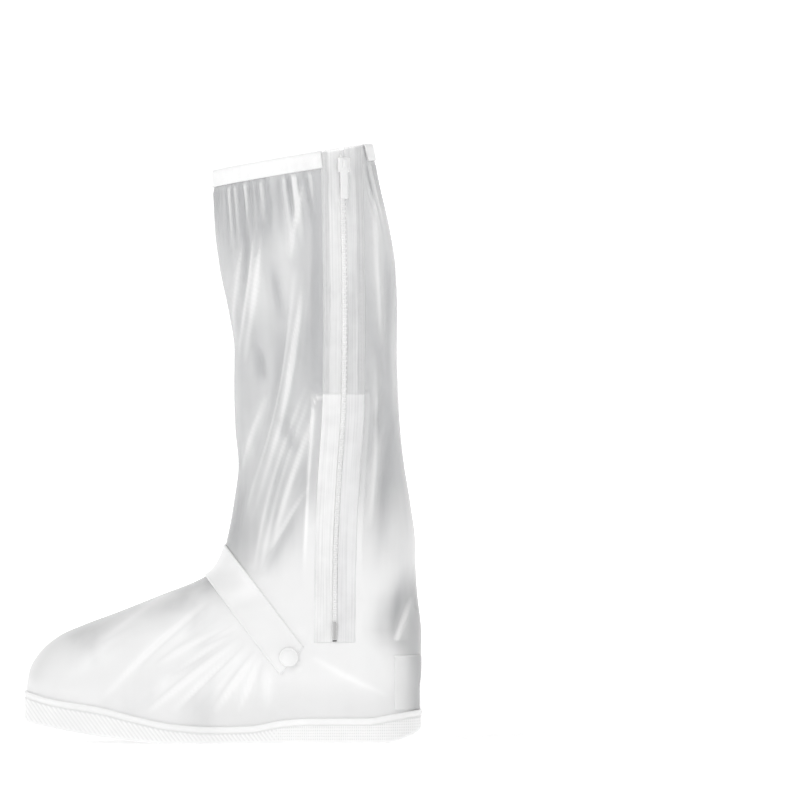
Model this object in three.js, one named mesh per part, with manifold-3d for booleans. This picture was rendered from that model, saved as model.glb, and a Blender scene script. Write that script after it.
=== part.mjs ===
// A knee-high waterproof shoe cover of clear vinyl film, standing on its moulded sole.
// Millimetres, +Z up, the toe towards -X and the zip on the -Y side.
// The origin is on the ground, under the middle of the sole's length.
import * as THREE from "three";
import { mergeVertices } from "three/addons/utils/BufferGeometryUtils.js";
import Module from "manifold-3d";

const wasm = await Module();
wasm.setup();

// Whole cover
const soleLength = 300;
const ballWidth = 112;
const coverHeight = 451;
const rimDrop = 20;
const instepHeight = 146;
const calfDepth = 132;
const calfWidth = 116;
const legOffset = 65;
const filmThickness = 1.2;
const clearance = 0.3;

// Sole
const soleThickness = 4;
const soleWall = 2.2;
const soleWallHeight = 24;
const lipHeight = 3.4;
const lipDepth = 0.7;
const soleEdge = 2.4;
const toeLift = 15.5;
const heelLift = 10;
const soleFlatFront = -40;
const soleFlatBack = 115;
const treadPitch = 15;
const treadWidth = 3;
const treadDepth = 1.4;

// Elastic band round the top
const bandHeight = 13;
const bandOuter = 1.5;
const bandInner = 1;

// Strap over the instep, with a snap at each end
const strapWidth = 27;
const strapThickness = 1.4;
const strapSlack = 0.5;
const strapCrest = { x: -0.0127 * soleLength, z: 0.924 * instepHeight };
const strapEnd = { x: 0.18 * soleLength, z: 0.408 * instepHeight };
const strapEndCut = 6;
const snapInset = 7;
const snapRadius = 7.2;
const snapDome = 1.9;
const snapRim = 1.1;
const snapPost = 2;
const snapBaseRadius = 6;
const snapBaseThickness = 1.1;
const snapSeat = 0.75;

// Zip
const zipBottom = 76;
const zipTapeWidth = 13;
const zipTapeThickness = 1;
const zipChainWidth = 4.6;
const zipChainThickness = 2;
const zipToothPitch = 12;
const zipToothNotch = 0.5;
const zipSlit = 6;
const stopWidth = 2.8;
const stopLength = 13;
const stopRise = 0.8;
const sliderLength = 11;
const sliderWidth = 8;
const sliderThickness = 3;
const pullLength = 24;
const pullWidth = 5.5;
const pullThickness = 1.6;

// Inner film behind the zip, and the patch round the heel
const gussetWidth = 43;
const gussetTop = 263;
const gussetBottom = 70;
const gussetThickness = 1;
const patchTop = 66;
const patchReach = 21;
const patchThickness = 1;

// Folds and gathers in the film
const foldDepth = 2.4;
const foldWidth = 9;
const foldMargin = 11;
const foldRamp = 7;
const gatherCount = 13;
const gatherDepth = 1.5;
const gatherReach = 34;

// Level cuts through the foot above the sole's wall. height is a share of instepHeight,
// width of ballWidth, the other lengths of soleLength. front and back are measured from
// the middle of the sole, nose and heel are how far the rounded ends reach, and waist is
// the heel's width against the ball's.
const footSections = [
  { height: 0.366, front: -0.485, back: 0.495, width: 0.925, nose: 0.25, heel: 0.15, waist: 0.79 },
  { height: 0.46, front: -0.46, back: 0.496, width: 0.88, nose: 0.26, heel: 0.15, waist: 0.85 },
  { height: 0.547, front: -0.41, back: 0.497, width: 0.82, nose: 0.28, heel: 0.15, waist: 0.92 },
  { height: 0.594, front: -0.359, back: 0.496, width: 0.8, nose: 0.3, heel: 0.15, waist: 0.95 },
  { height: 0.671, front: -0.259, back: 0.492, width: 0.777, nose: 0.33, heel: 0.15, waist: 0.98 },
  { height: 0.754, front: -0.158, back: 0.487, width: 0.768, nose: 0.36, heel: 0.155, waist: 1 },
  { height: 0.836, front: -0.058, back: 0.484, width: 0.78, nose: 0.33, heel: 0.165, waist: 1 },
  { height: 0.88, front: -0.025, back: 0.483, width: 0.79, nose: 0.3, heel: 0.175, waist: 1 },
  { height: 0.94, front: -0.005, back: 0.482, width: 0.8, nose: 0.265, heel: 0.19, waist: 1 },
  { height: 1, front: 0.006, back: 0.482, width: 0.821, nose: 0.245, heel: 0.21, waist: 1 },
];

// Level cuts through the leg, which are ovals. height is a share of the leg's height above
// the instep, front and back of calfDepth from the leg's own middle, width of calfWidth.
const legSections = [
  { height: 0.12, front: -0.425, back: 0.57, width: 0.853 },
  { height: 0.206, front: -0.402, back: 0.538, width: 0.887 },
  { height: 0.3, front: -0.42, back: 0.515, width: 0.912 },
  { height: 0.4, front: -0.427, back: 0.503, width: 0.947 },
  { height: 0.49, front: -0.425, back: 0.497, width: 0.965 },
  { height: 0.58, front: -0.455, back: 0.5, width: 0.985 },
  { height: 0.69, front: -0.507, back: 0.49, width: 1 },
  { height: 0.79, front: -0.535, back: 0.455, width: 0.995 },
  { height: 0.9, front: -0.542, back: 0.395, width: 0.965 },
  { height: 1, front: -0.538, back: 0.35, width: 0.925 },
];

// Top edge of the sole's wall: along is a share of soleLength from the toe, height of
// soleWallHeight above the ground.
const wallTop = [
  { along: 0, height: 1.63 },
  { along: 0.065, height: 1.41 },
  { along: 0.19, height: 1.16 },
  { along: 0.28, height: 0.88 },
  { along: 0.375, height: 0.63 },
  { along: 0.477, height: 0.53 },
  { along: 0.565, height: 0.55 },
  { along: 0.66, height: 0.74 },
  { along: 0.724, height: 0.785 },
  { along: 0.864, height: 0.79 },
  { along: 0.925, height: 0.91 },
  { along: 1, height: 1.04 },
];

// The zip's middle line: height is a share of coverHeight, place of soleLength.
const zipLine = [
  { height: 0.168, place: 0.281 },
  { height: 0.31, place: 0.283 },
  { height: 0.433, place: 0.291 },
  { height: 0.572, place: 0.303 },
  { height: 0.705, place: 0.305 },
  { height: 1, place: 0.297 },
];

// Folds seen from the side, each from one place to another. The places are shares of
// soleLength and coverHeight, width and depth of foldWidth and foldDepth. A fold with
// depth below 0 is a valley. side is -1 on the zip's side and 1 on the other.
const folds = [
  { side: -1, x0: 0.05, z0: 0.925, x1: 0.05, z1: 0.725, width: 1, depth: -1 },
  { side: -1, x0: 0.093, z0: 0.88, x1: 0.047, z1: 0.632, width: 0.9, depth: 0.8 },
  { side: -1, x0: 0.194, z0: 0.83, x1: 0.063, z1: 0.368, width: 1.2, depth: 1.2 },
  { side: -1, x0: 0.123, z0: 0.8, x1: 0.151, z1: 0.66, width: 0.8, depth: -0.8 },
  { side: -1, x0: 0.083, z0: 0.664, x1: 0.103, z1: 0.57, width: 0.9, depth: -1 },
  { side: -1, x0: 0.224, z0: 0.62, x1: 0.088, z1: 0.284, width: 1, depth: 1 },
  { side: -1, x0: 0.2, z0: 0.5, x1: 0.07, z1: 0.27, width: 0.9, depth: -0.8 },
  { side: -1, x0: 0.053, z0: 0.443, x1: 0.03, z1: 0.33, width: 0.9, depth: -0.7 },
  { side: -1, x0: 0.4, z0: 0.88, x1: 0.37, z1: 0.5, width: 0.9, depth: 0.8 },
  { side: -1, x0: 0.435, z0: 0.6, x1: 0.395, z1: 0.26, width: 0.9, depth: -0.8 },
  { side: -1, x0: -0.03, z0: 0.24, x1: -0.3, z1: 0.09, width: 0.9, depth: 0.7 },
  { side: -1, x0: 0.038, z0: 0.176, x1: -0.236, z1: 0.06, width: 0.9, depth: -0.7 },
  { side: -1, x0: 0.078, z0: 0.161, x1: -0.07, z1: 0.05, width: 0.9, depth: 0.7 },
  { side: -1, x0: 0.11, z0: 0.136, x1: 0.113, z1: 0.06, width: 0.9, depth: -0.6 },
  { side: -1, x0: -0.103, z0: 0.254, x1: -0.309, z1: 0.166, width: 1.2, depth: -0.6 },
  { side: 1, x0: 0.05, z0: 0.24, x1: -0.28, z1: 0.09, width: 0.9, depth: 0.7 },
  { side: 1, x0: 0.08, z0: 0.21, x1: -0.14, z1: 0.06, width: 0.9, depth: -0.7 },
  { side: 1, x0: 0.12, z0: 0.16, x1: 0.04, z1: 0.05, width: 1, depth: 0.6 },
  { side: 1, x0: 0.08, z0: 0.92, x1: 0.14, z1: 0.6, width: 1.1, depth: -0.8 },
  { side: 1, x0: 0.2, z0: 0.92, x1: 0.17, z1: 0.55, width: 1, depth: 0.8 },
  { side: 1, x0: 0.32, z0: 0.9, x1: 0.24, z1: 0.45, width: 1.1, depth: -0.8 },
  { side: 1, x0: 0.3, z0: 0.55, x1: 0.12, z1: 0.31, width: 1, depth: 0.9 },
  { side: 1, x0: 0.42, z0: 0.62, x1: 0.38, z1: 0.3, width: 1, depth: -0.8 },
];

// Level rows of the film's mesh in the foot and the leg, and its columns all the way round
const footRows = 17;
const legRows = 12;
const columns = 48;

const half = soleLength / 2;
const legHeight = coverHeight - instepHeight;
const floorLevel = soleThickness + clearance;
const rimLevel = coverHeight - bandInner - clearance;
const wallReach = 1.63 * soleWallHeight;

function smooth(share) {
  const s = Math.min(1, Math.max(0, share));
  return s * s * (3 - 2 * s);
}

// Value of one column of a table at a place along another, on a smooth curve that never
// runs beyond the table's own values.
function readTable(rows, key, column, at) {
  let i = 0;
  while (i < rows.length - 2 && at > rows[i + 1][key]) i += 1;
  const slope = (a) => (rows[a + 1][column] - rows[a][column]) / (rows[a + 1][key] - rows[a][key]);
  const tangent = (a) => {
    if (a === 0) return slope(0);
    if (a === rows.length - 1) return slope(a - 1);
    const product = slope(a - 1) * slope(a);
    return product > 0 ? (2 * product) / (slope(a - 1) + slope(a)) : 0;
  };
  const span = rows[i + 1][key] - rows[i][key];
  const t = Math.min(1, Math.max(0, (at - rows[i][key]) / span));
  const m0 = tangent(i) * span;
  const m1 = tangent(i + 1) * span;
  const rise = rows[i + 1][column] - rows[i][column];
  return rows[i][column] + t * (m0 + t * (3 * rise - 2 * m0 - m1 + t * (m0 + m1 - 2 * rise)));
}

// Level cut of the sole's outer face, moved inwards by inset.
function soleCut(inset) {
  return {
    front: -half + inset,
    back: half - inset,
    width: ballWidth / 2 - inset,
    nose: 0.25 * soleLength - inset,
    heel: 0.15 * soleLength - inset,
    waist: 0.735,
  };
}

// Both tables of level cuts as one, in millimetres. The film starts inside the sole's wall.
const sections = [
  { level: 0, ...soleCut(soleWall + clearance) },
  { level: wallReach, ...soleCut(soleWall + clearance) },
  ...footSections.map((row) => ({
    level: row.height * instepHeight,
    front: row.front * soleLength,
    back: row.back * soleLength,
    width: (row.width * ballWidth) / 2,
    nose: row.nose * soleLength,
    heel: row.heel * soleLength,
    waist: row.waist,
  })),
  ...legSections.map((row) => ({
    level: instepHeight + row.height * legHeight,
    front: legOffset + row.front * calfDepth,
    back: legOffset + row.back * calfDepth,
    width: (row.width * calfWidth) / 2,
    nose: ((row.back - row.front) * calfDepth) / 2,
    heel: ((row.back - row.front) * calfDepth) / 2,
    waist: 1,
  })),
];

// The level cut at one height, read from the tables once and kept.
const cuts = new Map();
function cutAt(level) {
  if (!cuts.has(level)) {
    const cut = {};
    for (const column of ["front", "back", "width", "nose", "heel", "waist"]) {
      cut[column] = readTable(sections, "level", column, level);
    }
    cuts.set(level, cut);
  }
  return cuts.get(level);
}

// Square of a level cut's half-width at x: rounded at both ends, drawn in at the waist.
// It is below 0 outside the cut, so that its slope gives the surface's normal everywhere.
function cutSquared(cut, x) {
  const round = (share) => (share < 1 ? 1 - (1 - share) * (1 - share) : 1);
  const ends = round((x - cut.front) / cut.nose) * round((cut.back - x) / cut.heel);
  const drawnIn = 1 - (1 - cut.waist) * smooth((x + 0.2 * soleLength) / (0.4 * soleLength));
  return (cut.width * drawnIn) ** 2 * ends;
}

function filmSquared(x, z) {
  return cutSquared(cutAt(z), x);
}

// Height of the rim's slanted edge at x, and how far a row at some level slants with it.
function rimAt(x) {
  const top = cutAt(coverHeight);
  return rimLevel - (rimDrop * (top.back - x)) / (top.back - top.front);
}

// How far the sole curls up off the ground under x.
function lift(x) {
  const toe = Math.max(0, (soleFlatFront - x) / (soleFlatFront + half));
  const heel = Math.max(0, (x - soleFlatBack) / (half - soleFlatBack));
  return toeLift * toe ** 1.4 + heelLift * heel ** 2.2;
}

// Smooth height of the sole's wall at x.
function wallHeight(x) {
  return soleWallHeight * readTable(wallTop, "along", "height", (x + half) / soleLength);
}

function zipPlace(z) {
  return soleLength * readTable(zipLine, "height", "place", z / coverHeight);
}

// Height at which the zip meets the top of the band.
function zipTop() {
  return rimAt(zipPlace(coverHeight)) + clearance + bandInner;
}

// Outward normal of the smooth film at a point of it.
function filmNormal(point) {
  const step = 0.5;
  const slopeX = (filmSquared(point.x + step, point.z) - filmSquared(point.x - step, point.z)) / 2 / step;
  const slopeZ = (filmSquared(point.x, point.z + step) - filmSquared(point.x, point.z - step)) / 2 / step;
  return new THREE.Vector3(-slopeX, 2 * point.y, -slopeZ).normalize();
}

// Point of the smooth film on one side at a place in the side view, moved out by offset.
function onFilm(x, z, side, offset) {
  const point = new THREE.Vector3(x, side * Math.sqrt(Math.max(0, filmSquared(x, z))), z);
  return point.addScaledVector(filmNormal(point), offset);
}

// Unit direction of the strap down the side, and a place's coordinates along and across it.
const strapRun = new THREE.Vector2(strapEnd.x - strapCrest.x, strapEnd.z - strapCrest.z);
const strapLength = strapRun.length();
strapRun.normalize();
function onStrap(x, z) {
  const dx = x - strapCrest.x;
  const dz = z - strapCrest.z;
  return { along: dx * strapRun.x + dz * strapRun.y, across: dx * strapRun.y - dz * strapRun.x };
}

// How much a fold may show at a place: none under the zip, the strap, the band, the heel
// patch or inside the sole, where the film lies flat, nor foldMargin beside them.
function foldRoom(x, z, side) {
  const free = (distance) => smooth((distance - foldMargin) / foldRamp);
  const zipReach = zipTapeWidth + zipChainWidth / 2;
  const zip = side < 0 && z > zipBottom - 2 * foldMargin ? free(Math.abs(x - zipPlace(z)) - zipReach) : 1;
  const strap = onStrap(x, z);
  const beside = free(Math.abs(strap.across) - strapWidth / 2);
  const beyond = free(strap.along - strapLength);
  const band = free(rimAt(x) - bandHeight - z + foldMargin);
  const patch = z < patchTop + 2 * foldMargin ? free(half - patchReach - x) : 1;
  const sole = free(z - wallHeight(x));
  const ridge = smooth((x - cutAt(z).front) / 10) * smooth((cutAt(z).back - x) / 10);
  return zip * Math.max(beside, beyond) * band * patch * sole * ridge;
}

// Height of the folds and of the gathers under the band at a place on the film.
function foldAt(x, z, side, turn) {
  let height = 0;
  for (const fold of folds) {
    if (fold.side !== side) continue;
    const from = new THREE.Vector2(fold.x0 * soleLength, fold.z0 * coverHeight);
    const run = new THREE.Vector2(fold.x1 * soleLength, fold.z1 * coverHeight).sub(from);
    const place = new THREE.Vector2(x, z).sub(from);
    const along = place.dot(run) / run.lengthSq();
    if (along <= 0 || along >= 1) continue;
    const across = Math.abs(place.cross(run)) / run.length() / (fold.width * foldWidth);
    if (across >= 1) continue;
    height += fold.depth * foldDepth * Math.sin(Math.PI * along) * (1 - smooth(across));
  }
  const below = (rimAt(x) - bandHeight - z) / gatherReach;
  if (below > 0 && below < 1) {
    const fade = Math.sin(Math.PI * Math.sqrt(below)) * (1 - below);
    height += gatherDepth * fade * Math.sin(turn * gatherCount);
  }
  return height * foldRoom(x, z, side);
}

// A closed body between two grids of points, such as the two faces of a sheet. Rows run one
// way and columns the other; with wrap the last column joins the first. Squares are cut in
// two so that both halves of a ring, or of a mirrored strip, mirror each other.
function sheetGeometry(outer, inner, wrap, mirrored = false) {
  const rows = outer.length;
  const cols = outer[0].length;
  const positions = [...outer.flat(), ...inner.flat()].flatMap((p) => [p.x, p.y, p.z]);
  const at = (face, row, col) => face * rows * cols + row * cols + (col % cols);
  const indices = [];
  const quad = (a, b, c, d) => indices.push(a, b, c, a, c, d);
  const lastCol = wrap ? cols : cols - 1;
  for (let r = 0; r < rows - 1; r += 1) {
    for (let c = 0; c < lastCol; c += 1) {
      const face = [at(0, r, c), at(0, r, c + 1), at(0, r + 1, c + 1), at(0, r + 1, c)];
      const back = [at(1, r + 1, c), at(1, r + 1, c + 1), at(1, r, c + 1), at(1, r, c)];
      const past = wrap ? c >= cols / 2 : mirrored && r < (rows - 1) / 2;
      quad(...(past ? [face[1], face[2], face[3], face[0]] : face));
      quad(...(past ? [back[1], back[2], back[3], back[0]] : back));
    }
  }
  for (let c = 0; c < lastCol; c += 1) {
    quad(at(0, 0, c + 1), at(0, 0, c), at(1, 0, c), at(1, 0, c + 1));
    quad(at(0, rows - 1, c), at(0, rows - 1, c + 1), at(1, rows - 1, c + 1), at(1, rows - 1, c));
  }
  if (!wrap) {
    for (let r = 0; r < rows - 1; r += 1) {
      quad(at(0, r, 0), at(0, r + 1, 0), at(1, r + 1, 0), at(1, r, 0));
      quad(at(0, r + 1, cols - 1), at(0, r, cols - 1), at(1, r, cols - 1), at(1, r + 1, cols - 1));
    }
  }
  return facingOut(positions, indices);
}

// A geometry from points and triangles, turned round if its faces point inwards.
function facingOut(positions, indices) {
  const corner = (i) => new THREE.Vector3().fromArray(positions, 3 * indices[i]);
  let volume = 0;
  for (let i = 0; i < indices.length; i += 3) {
    volume += corner(i).dot(corner(i + 1).cross(corner(i + 2)));
  }
  const geometry = new THREE.BufferGeometry();
  geometry.setAttribute("position", new THREE.Float32BufferAttribute(positions, 3));
  geometry.setIndex(volume < 0 ? indices.slice().reverse() : indices);
  return geometry;
}

function toSolid(geometry) {
  const bare = new THREE.BufferGeometry();
  bare.setAttribute("position", geometry.getAttribute("position"));
  if (geometry.index) bare.setIndex(geometry.index);
  const merged = mergeVertices(bare, 1e-3);
  return new wasm.Manifold(
    new wasm.Mesh({
      numProp: 3,
      vertProperties: Float32Array.from(merged.attributes.position.array),
      triVerts: Uint32Array.from(merged.index.array),
    }),
  );
}

function fromSolid(solid) {
  const mesh = solid.getMesh();
  const geometry = new THREE.BufferGeometry();
  geometry.setAttribute("position", new THREE.BufferAttribute(mesh.vertProperties, 3));
  geometry.setIndex(new THREE.BufferAttribute(mesh.triVerts, 1));
  return geometry;
}

// Share of the way round, from the heel by the zip's side to the toe and back.
function roundTurn(column) {
  return (2 * Math.PI * column) / columns;
}

// Levels of the film's rows in the foot, closer together over the instep, and in the leg.
// The two meet at the ankle with a clearance between them.
function footLevels() {
  const reach = instepHeight - clearance / 2 - floorLevel;
  return Array.from({ length: footRows + 1 }, (_, i) => floorLevel + reach * (i / footRows) ** 0.86);
}

function legLevels() {
  const low = instepHeight + clearance / 2;
  return Array.from(
    { length: legRows + 1 },
    (_, i) => low + (rimLevel - low) * (1 - (1 - i / legRows) ** 1.25),
  );
}

// How far a row curls up with the sole or slants with the rim at x.
function rowShift(level, x) {
  const curl = 1 - smooth((level - floorLevel) / (0.5 * instepHeight));
  const slant = smooth((level - instepHeight) / (rimLevel - instepHeight));
  return curl * lift(x) + slant * (rimAt(x) - rimLevel);
}

// Point of the film in one row, before its folds: x and z follow from each other.
function rowPoint(turn, shiftAt) {
  const side = turn <= Math.PI ? -1 : 1;
  let x = 0;
  let z = shiftAt(0);
  for (let pass = 0; pass < 4; pass += 1) {
    const cut = cutAt(z);
    x = cut.back + ((cut.front - cut.back) * (1 - Math.cos(turn))) / 2;
    z = shiftAt(x);
  }
  return new THREE.Vector3(x, side * Math.sqrt(Math.max(0, filmSquared(x, z))), z);
}

// One ring of points, each made from its share of the way round.
function ring(pointAt) {
  return Array.from({ length: columns }, (_, c) => pointAt(roundTurn(c)));
}

// The film as a sleeve through some levels, open for the zip and the snaps.
function sleeveGeometry(levels) {
  const row = (level, offset) =>
    ring((turn) => {
      const point = rowPoint(turn, (x) => level + rowShift(level, x));
      const z = point.z;
      const fold = foldAt(point.x, z, turn <= Math.PI ? -1 : 1, turn);
      point.addScaledVector(filmNormal(point), fold + offset);
      if (level === levels[0] || level === levels[levels.length - 1]) point.z = z;
      return point;
    });
  const outer = levels.map((level) => row(level, 0));
  const inner = levels.map((level) => row(level, -filmThickness));
  let solid = toSolid(sheetGeometry(outer, inner, true));
  solid = solid.subtract(toSolid(stripOnFilm(zipSlit, zipBottom, coverHeight + 4, -8, 6)));
  for (const side of [-1, 1]) {
    solid = solid.subtract(snapHole(side));
  }
  return fromSolid(solid);
}

// A strip that follows the zip's line up the film: its full width, the heights between
// which it runs, and the offsets of its two faces from the film.
function stripOnFilm(width, low, high, inside, outside, shift = 0, steps = 15, across = 2) {
  const face = (offset) => {
    const rows = [];
    for (let i = 0; i <= steps; i += 1) {
      const z = low + ((high - low) * i) / steps;
      const row = [];
      for (let j = 0; j <= across; j += 1) {
        const x = zipPlace(z) + shift + width * (j / across - 0.5);
        const level = Math.min(z, coverHeight);
        const point = onFilm(x, level, -1, offset);
        point.z += z - level;
        row.push(point);
      }
      rows.push(row);
    }
    return rows;
  };
  return sheetGeometry(face(outside), face(inside), false);
}

// The moulded sole: a tray whose wall rises in a wave, with a lip along its top edge.
function soleGeometry() {
  const loop = (inset, heightAt) => {
    const cut = soleCut(inset);
    return ring((turn) => {
      const x = cut.back + ((cut.front - cut.back) * (1 - Math.cos(turn))) / 2;
      const y = (turn <= Math.PI ? -1 : 1) * Math.sqrt(Math.max(0, cutSquared(cut, x)));
      return new THREE.Vector3(x, y, heightAt(x));
    });
  };
  const loops = [
    loop(soleEdge + lipDepth, (x) => lift(x)),
    loop(0.3 * soleEdge + lipDepth, (x) => lift(x) + 0.3 * soleEdge),
    loop(lipDepth, (x) => lift(x) + soleEdge),
    loop(lipDepth, (x) => Math.max(wallHeight(x) - lipHeight, lift(x) + soleEdge + 1)),
    loop(0, (x) => Math.max(wallHeight(x) - lipHeight + lipDepth, lift(x) + soleEdge + 2)),
    loop(0, (x) => wallHeight(x) - lipDepth),
    loop(lipDepth, (x) => wallHeight(x)),
    loop(soleWall, (x) => wallHeight(x)),
    loop(soleWall, (x) => lift(x) + soleThickness),
  ];
  const positions = loops.flat().flatMap((p) => [p.x, p.y, p.z]);
  const at = (row, column) => row * columns + ((column + columns) % columns);
  const indices = [];
  for (let row = 0; row < loops.length - 1; row += 1) {
    for (let c = 0; c < columns; c += 1) {
      indices.push(at(row, c), at(row + 1, c), at(row + 1, c + 1));
      indices.push(at(row, c), at(row + 1, c + 1), at(row, c + 1));
    }
  }
  // The underside and the floor inside run straight across from one side to the other.
  const last = loops.length - 1;
  for (let c = 0; c < columns / 2; c += 1) {
    if (c > 0) {
      indices.push(at(0, c), at(0, c + 1), at(0, -c));
      indices.push(at(last, c), at(last, -c), at(last, c + 1));
    }
    if (c < columns / 2 - 1) {
      indices.push(at(0, c + 1), at(0, -c - 1), at(0, -c));
      indices.push(at(last, c + 1), at(last, -c), at(last, -c - 1));
    }
  }
  let solid = toSolid(facingOut(positions, indices));
  for (let x = soleFlatFront - 4 * treadPitch; x < soleFlatBack; x += treadPitch) {
    const groove = new THREE.BoxGeometry(treadWidth, ballWidth, 2 * treadDepth);
    const slope = (lift(x + 1) - lift(x - 1)) / 2;
    groove.rotateY(-Math.atan(slope));
    groove.translate(x + treadPitch / 2, 0, lift(x + treadPitch / 2));
    solid = solid.subtract(toSolid(groove));
  }
  return fromSolid(solid);
}

// The band folded over the rim, open where the zip runs up through it.
function bandGeometry() {
  const zipReach = zipTapeWidth + zipChainWidth / 2 + 1;
  const top = clearance + bandInner;
  const inside = -filmThickness - clearance;
  const profile = [
    { offset: clearance, rise: top - bandHeight },
    { offset: clearance + bandOuter, rise: top - bandHeight },
    { offset: clearance + bandOuter, rise: top - 0.6 },
    { offset: clearance + bandOuter - 0.6, rise: top },
    { offset: inside - bandInner, rise: top },
    { offset: inside - bandInner, rise: top - bandHeight },
    { offset: inside, rise: top - bandHeight },
    { offset: inside, rise: clearance },
    { offset: clearance, rise: clearance },
  ];
  const loops = profile.map((corner) =>
    ring((turn) => {
      const point = rowPoint(turn, (x) => rimAt(x) + corner.rise);
      return point.addScaledVector(filmNormal(point).setZ(0).normalize(), corner.offset);
    }),
  );
  const positions = loops.flat().flatMap((p) => [p.x, p.y, p.z]);
  const indices = [];
  for (let row = 0; row < loops.length; row += 1) {
    const next = (row + 1) % loops.length;
    for (let c = 0; c < columns; c += 1) {
      const d = (c + 1) % columns;
      indices.push(row * columns + c, next * columns + c, next * columns + d);
      indices.push(row * columns + c, next * columns + d, row * columns + d);
    }
  }
  const closed = toSolid(facingOut(positions, indices));
  const low = coverHeight - rimDrop - bandHeight;
  return fromSolid(closed.subtract(toSolid(stripOnFilm(2 * zipReach, low, coverHeight + 4, -9, 6))));
}

// The strap lies on the film, from one snap over the instep to the other, and spans the
// hollow of the instep with a little slack. Its ends are cut at a slant, shorter towards the
// heel, and its points lie closest together at the crest.
function strapGeometry() {
  const steps = 12;
  const across = 4;
  const face = (offset) => {
    const rows = [];
    for (let i = -steps; i <= steps; i += 1) {
      const row = [];
      for (let j = 0; j <= across; j += 1) {
        const off = strapWidth * (j / across - 0.5);
        const crest = crestAlong(off);
        const end = strapLength - strapEndCut * (0.5 - off / strapWidth);
        const along = crest + (end - crest) * (i / steps) ** 2;
        const x = strapCrest.x + along * strapRun.x + off * strapRun.y;
        const z = strapCrest.z + along * strapRun.y - off * strapRun.x;
        row.push(onFilm(x, z, i < 0 ? 1 : -1, offset + strapSlack * (1 - (i / steps) ** 4)));
      }
      rows.push(row);
    }
    return rows;
  };
  const low = clearance;
  const strip = toSolid(sheetGeometry(face(low + strapThickness), face(low), false, true));
  return fromSolid(strip.subtract(snapHole(-1)).subtract(snapHole(1)));
}

// Distance along the strap's line, at one place across it, where it meets the film's ridge.
function crestAlong(off) {
  let low = -40;
  let high = 40;
  for (let i = 0; i < 40; i += 1) {
    const middle = (low + high) / 2;
    const x = strapCrest.x + middle * strapRun.x + off * strapRun.y;
    const z = strapCrest.z + middle * strapRun.y - off * strapRun.x;
    if (filmSquared(x, z) < 0) low = middle;
    else high = middle;
  }
  return high;
}

// Turns and moves a geometry that was made along +Z onto the film at a snap.
function placeSnap(geometry, side) {
  const along = strapLength - snapInset;
  const x = strapCrest.x + along * strapRun.x;
  const z = strapCrest.z + along * strapRun.y;
  const point = onFilm(x, z, side, 0);
  const turn = new THREE.Quaternion().setFromUnitVectors(new THREE.Vector3(0, 0, 1), filmNormal(point));
  return geometry.applyMatrix4(new THREE.Matrix4().compose(point, turn, new THREE.Vector3(1, 1, 1)));
}

// A round piece from a profile of radius and height pairs, which starts and ends on its axis.
function turned(profile, sides) {
  return new THREE.LatheGeometry(
    profile.map(([radius, height]) => new THREE.Vector2(radius, height)),
    sides,
  ).rotateX(Math.PI / 2);
}

function snapHole(side) {
  const radius = snapPost + clearance;
  const hole = new THREE.CylinderGeometry(radius, radius, 16, 12).rotateX(Math.PI / 2);
  return toSolid(placeSnap(hole, side));
}

function snapCapGeometry(side) {
  const seat = clearance + strapThickness + snapSeat;
  const postFoot = clearance + 0.1;
  const profile = [
    [0, postFoot],
    [snapPost, postFoot],
    [snapPost, seat],
    [snapRadius - 0.4, seat],
    [snapRadius, seat + 0.4],
    [snapRadius, seat + snapRim],
    [0.8 * snapRadius, seat + snapRim + 0.65 * (snapDome - snapRim)],
    [0.45 * snapRadius, seat + snapDome],
    [0, seat + snapDome],
  ];
  return placeSnap(turned(profile, 16), side);
}

function snapBaseGeometry(side) {
  const seat = -filmThickness - snapSeat;
  const profile = [
    [0, seat - snapBaseThickness],
    [snapBaseRadius, seat - snapBaseThickness],
    [snapBaseRadius, seat],
    [snapPost, seat],
    [snapPost, 0.1],
    [0, 0.1],
  ];
  return placeSnap(turned(profile, 16), side);
}

// Teeth of the closed zip: one body along the middle of the tapes, notched at each tooth.
function zipChainGeometry() {
  const length = zipTop() - 6 - (zipBottom + 2);
  const steps = 2 * Math.round(length / zipToothPitch);
  const face = (offset, notch) => {
    const rows = [];
    for (let i = 0; i <= steps; i += 1) {
      const z = zipBottom + 2 + (length * i) / steps;
      const dip = i % 2 ? notch : 0;
      const row = [];
      for (const share of [-0.5, 0.5]) {
        row.push(onFilm(zipPlace(z) + share * zipChainWidth, z, -1, offset - dip));
      }
      rows.push(row);
    }
    return rows;
  };
  const outside = clearance + zipTapeThickness + 0.4;
  return sheetGeometry(face(outside, zipToothNotch), face(outside - zipChainThickness, 0), false);
}

// The small plain stop that closes the foot of the zip.
function stopGeometry() {
  const base = clearance + zipTapeThickness + 0.7;
  const low = zipBottom + 2.5;
  return stripOnFilm(stopWidth, low, low + stopLength, base, base + stopRise, 0, 3);
}

// Slider at the top of the closed zip, with its pull hanging down the tape: one plain piece.
function sliderGeometry() {
  const top = zipTop() - 8;
  const base = clearance + zipTapeThickness + 0.7;
  const body = toSolid(stripOnFilm(sliderWidth, top - sliderLength, top, base, base + sliderThickness, 0, 2));
  const pullTop = top - sliderLength + 4;
  const pull = toSolid(
    stripOnFilm(pullWidth, pullTop - pullLength, pullTop, base + 0.5, base + 0.5 + pullThickness, 0, 3),
  );
  return fromSolid(body.add(pull));
}

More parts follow.
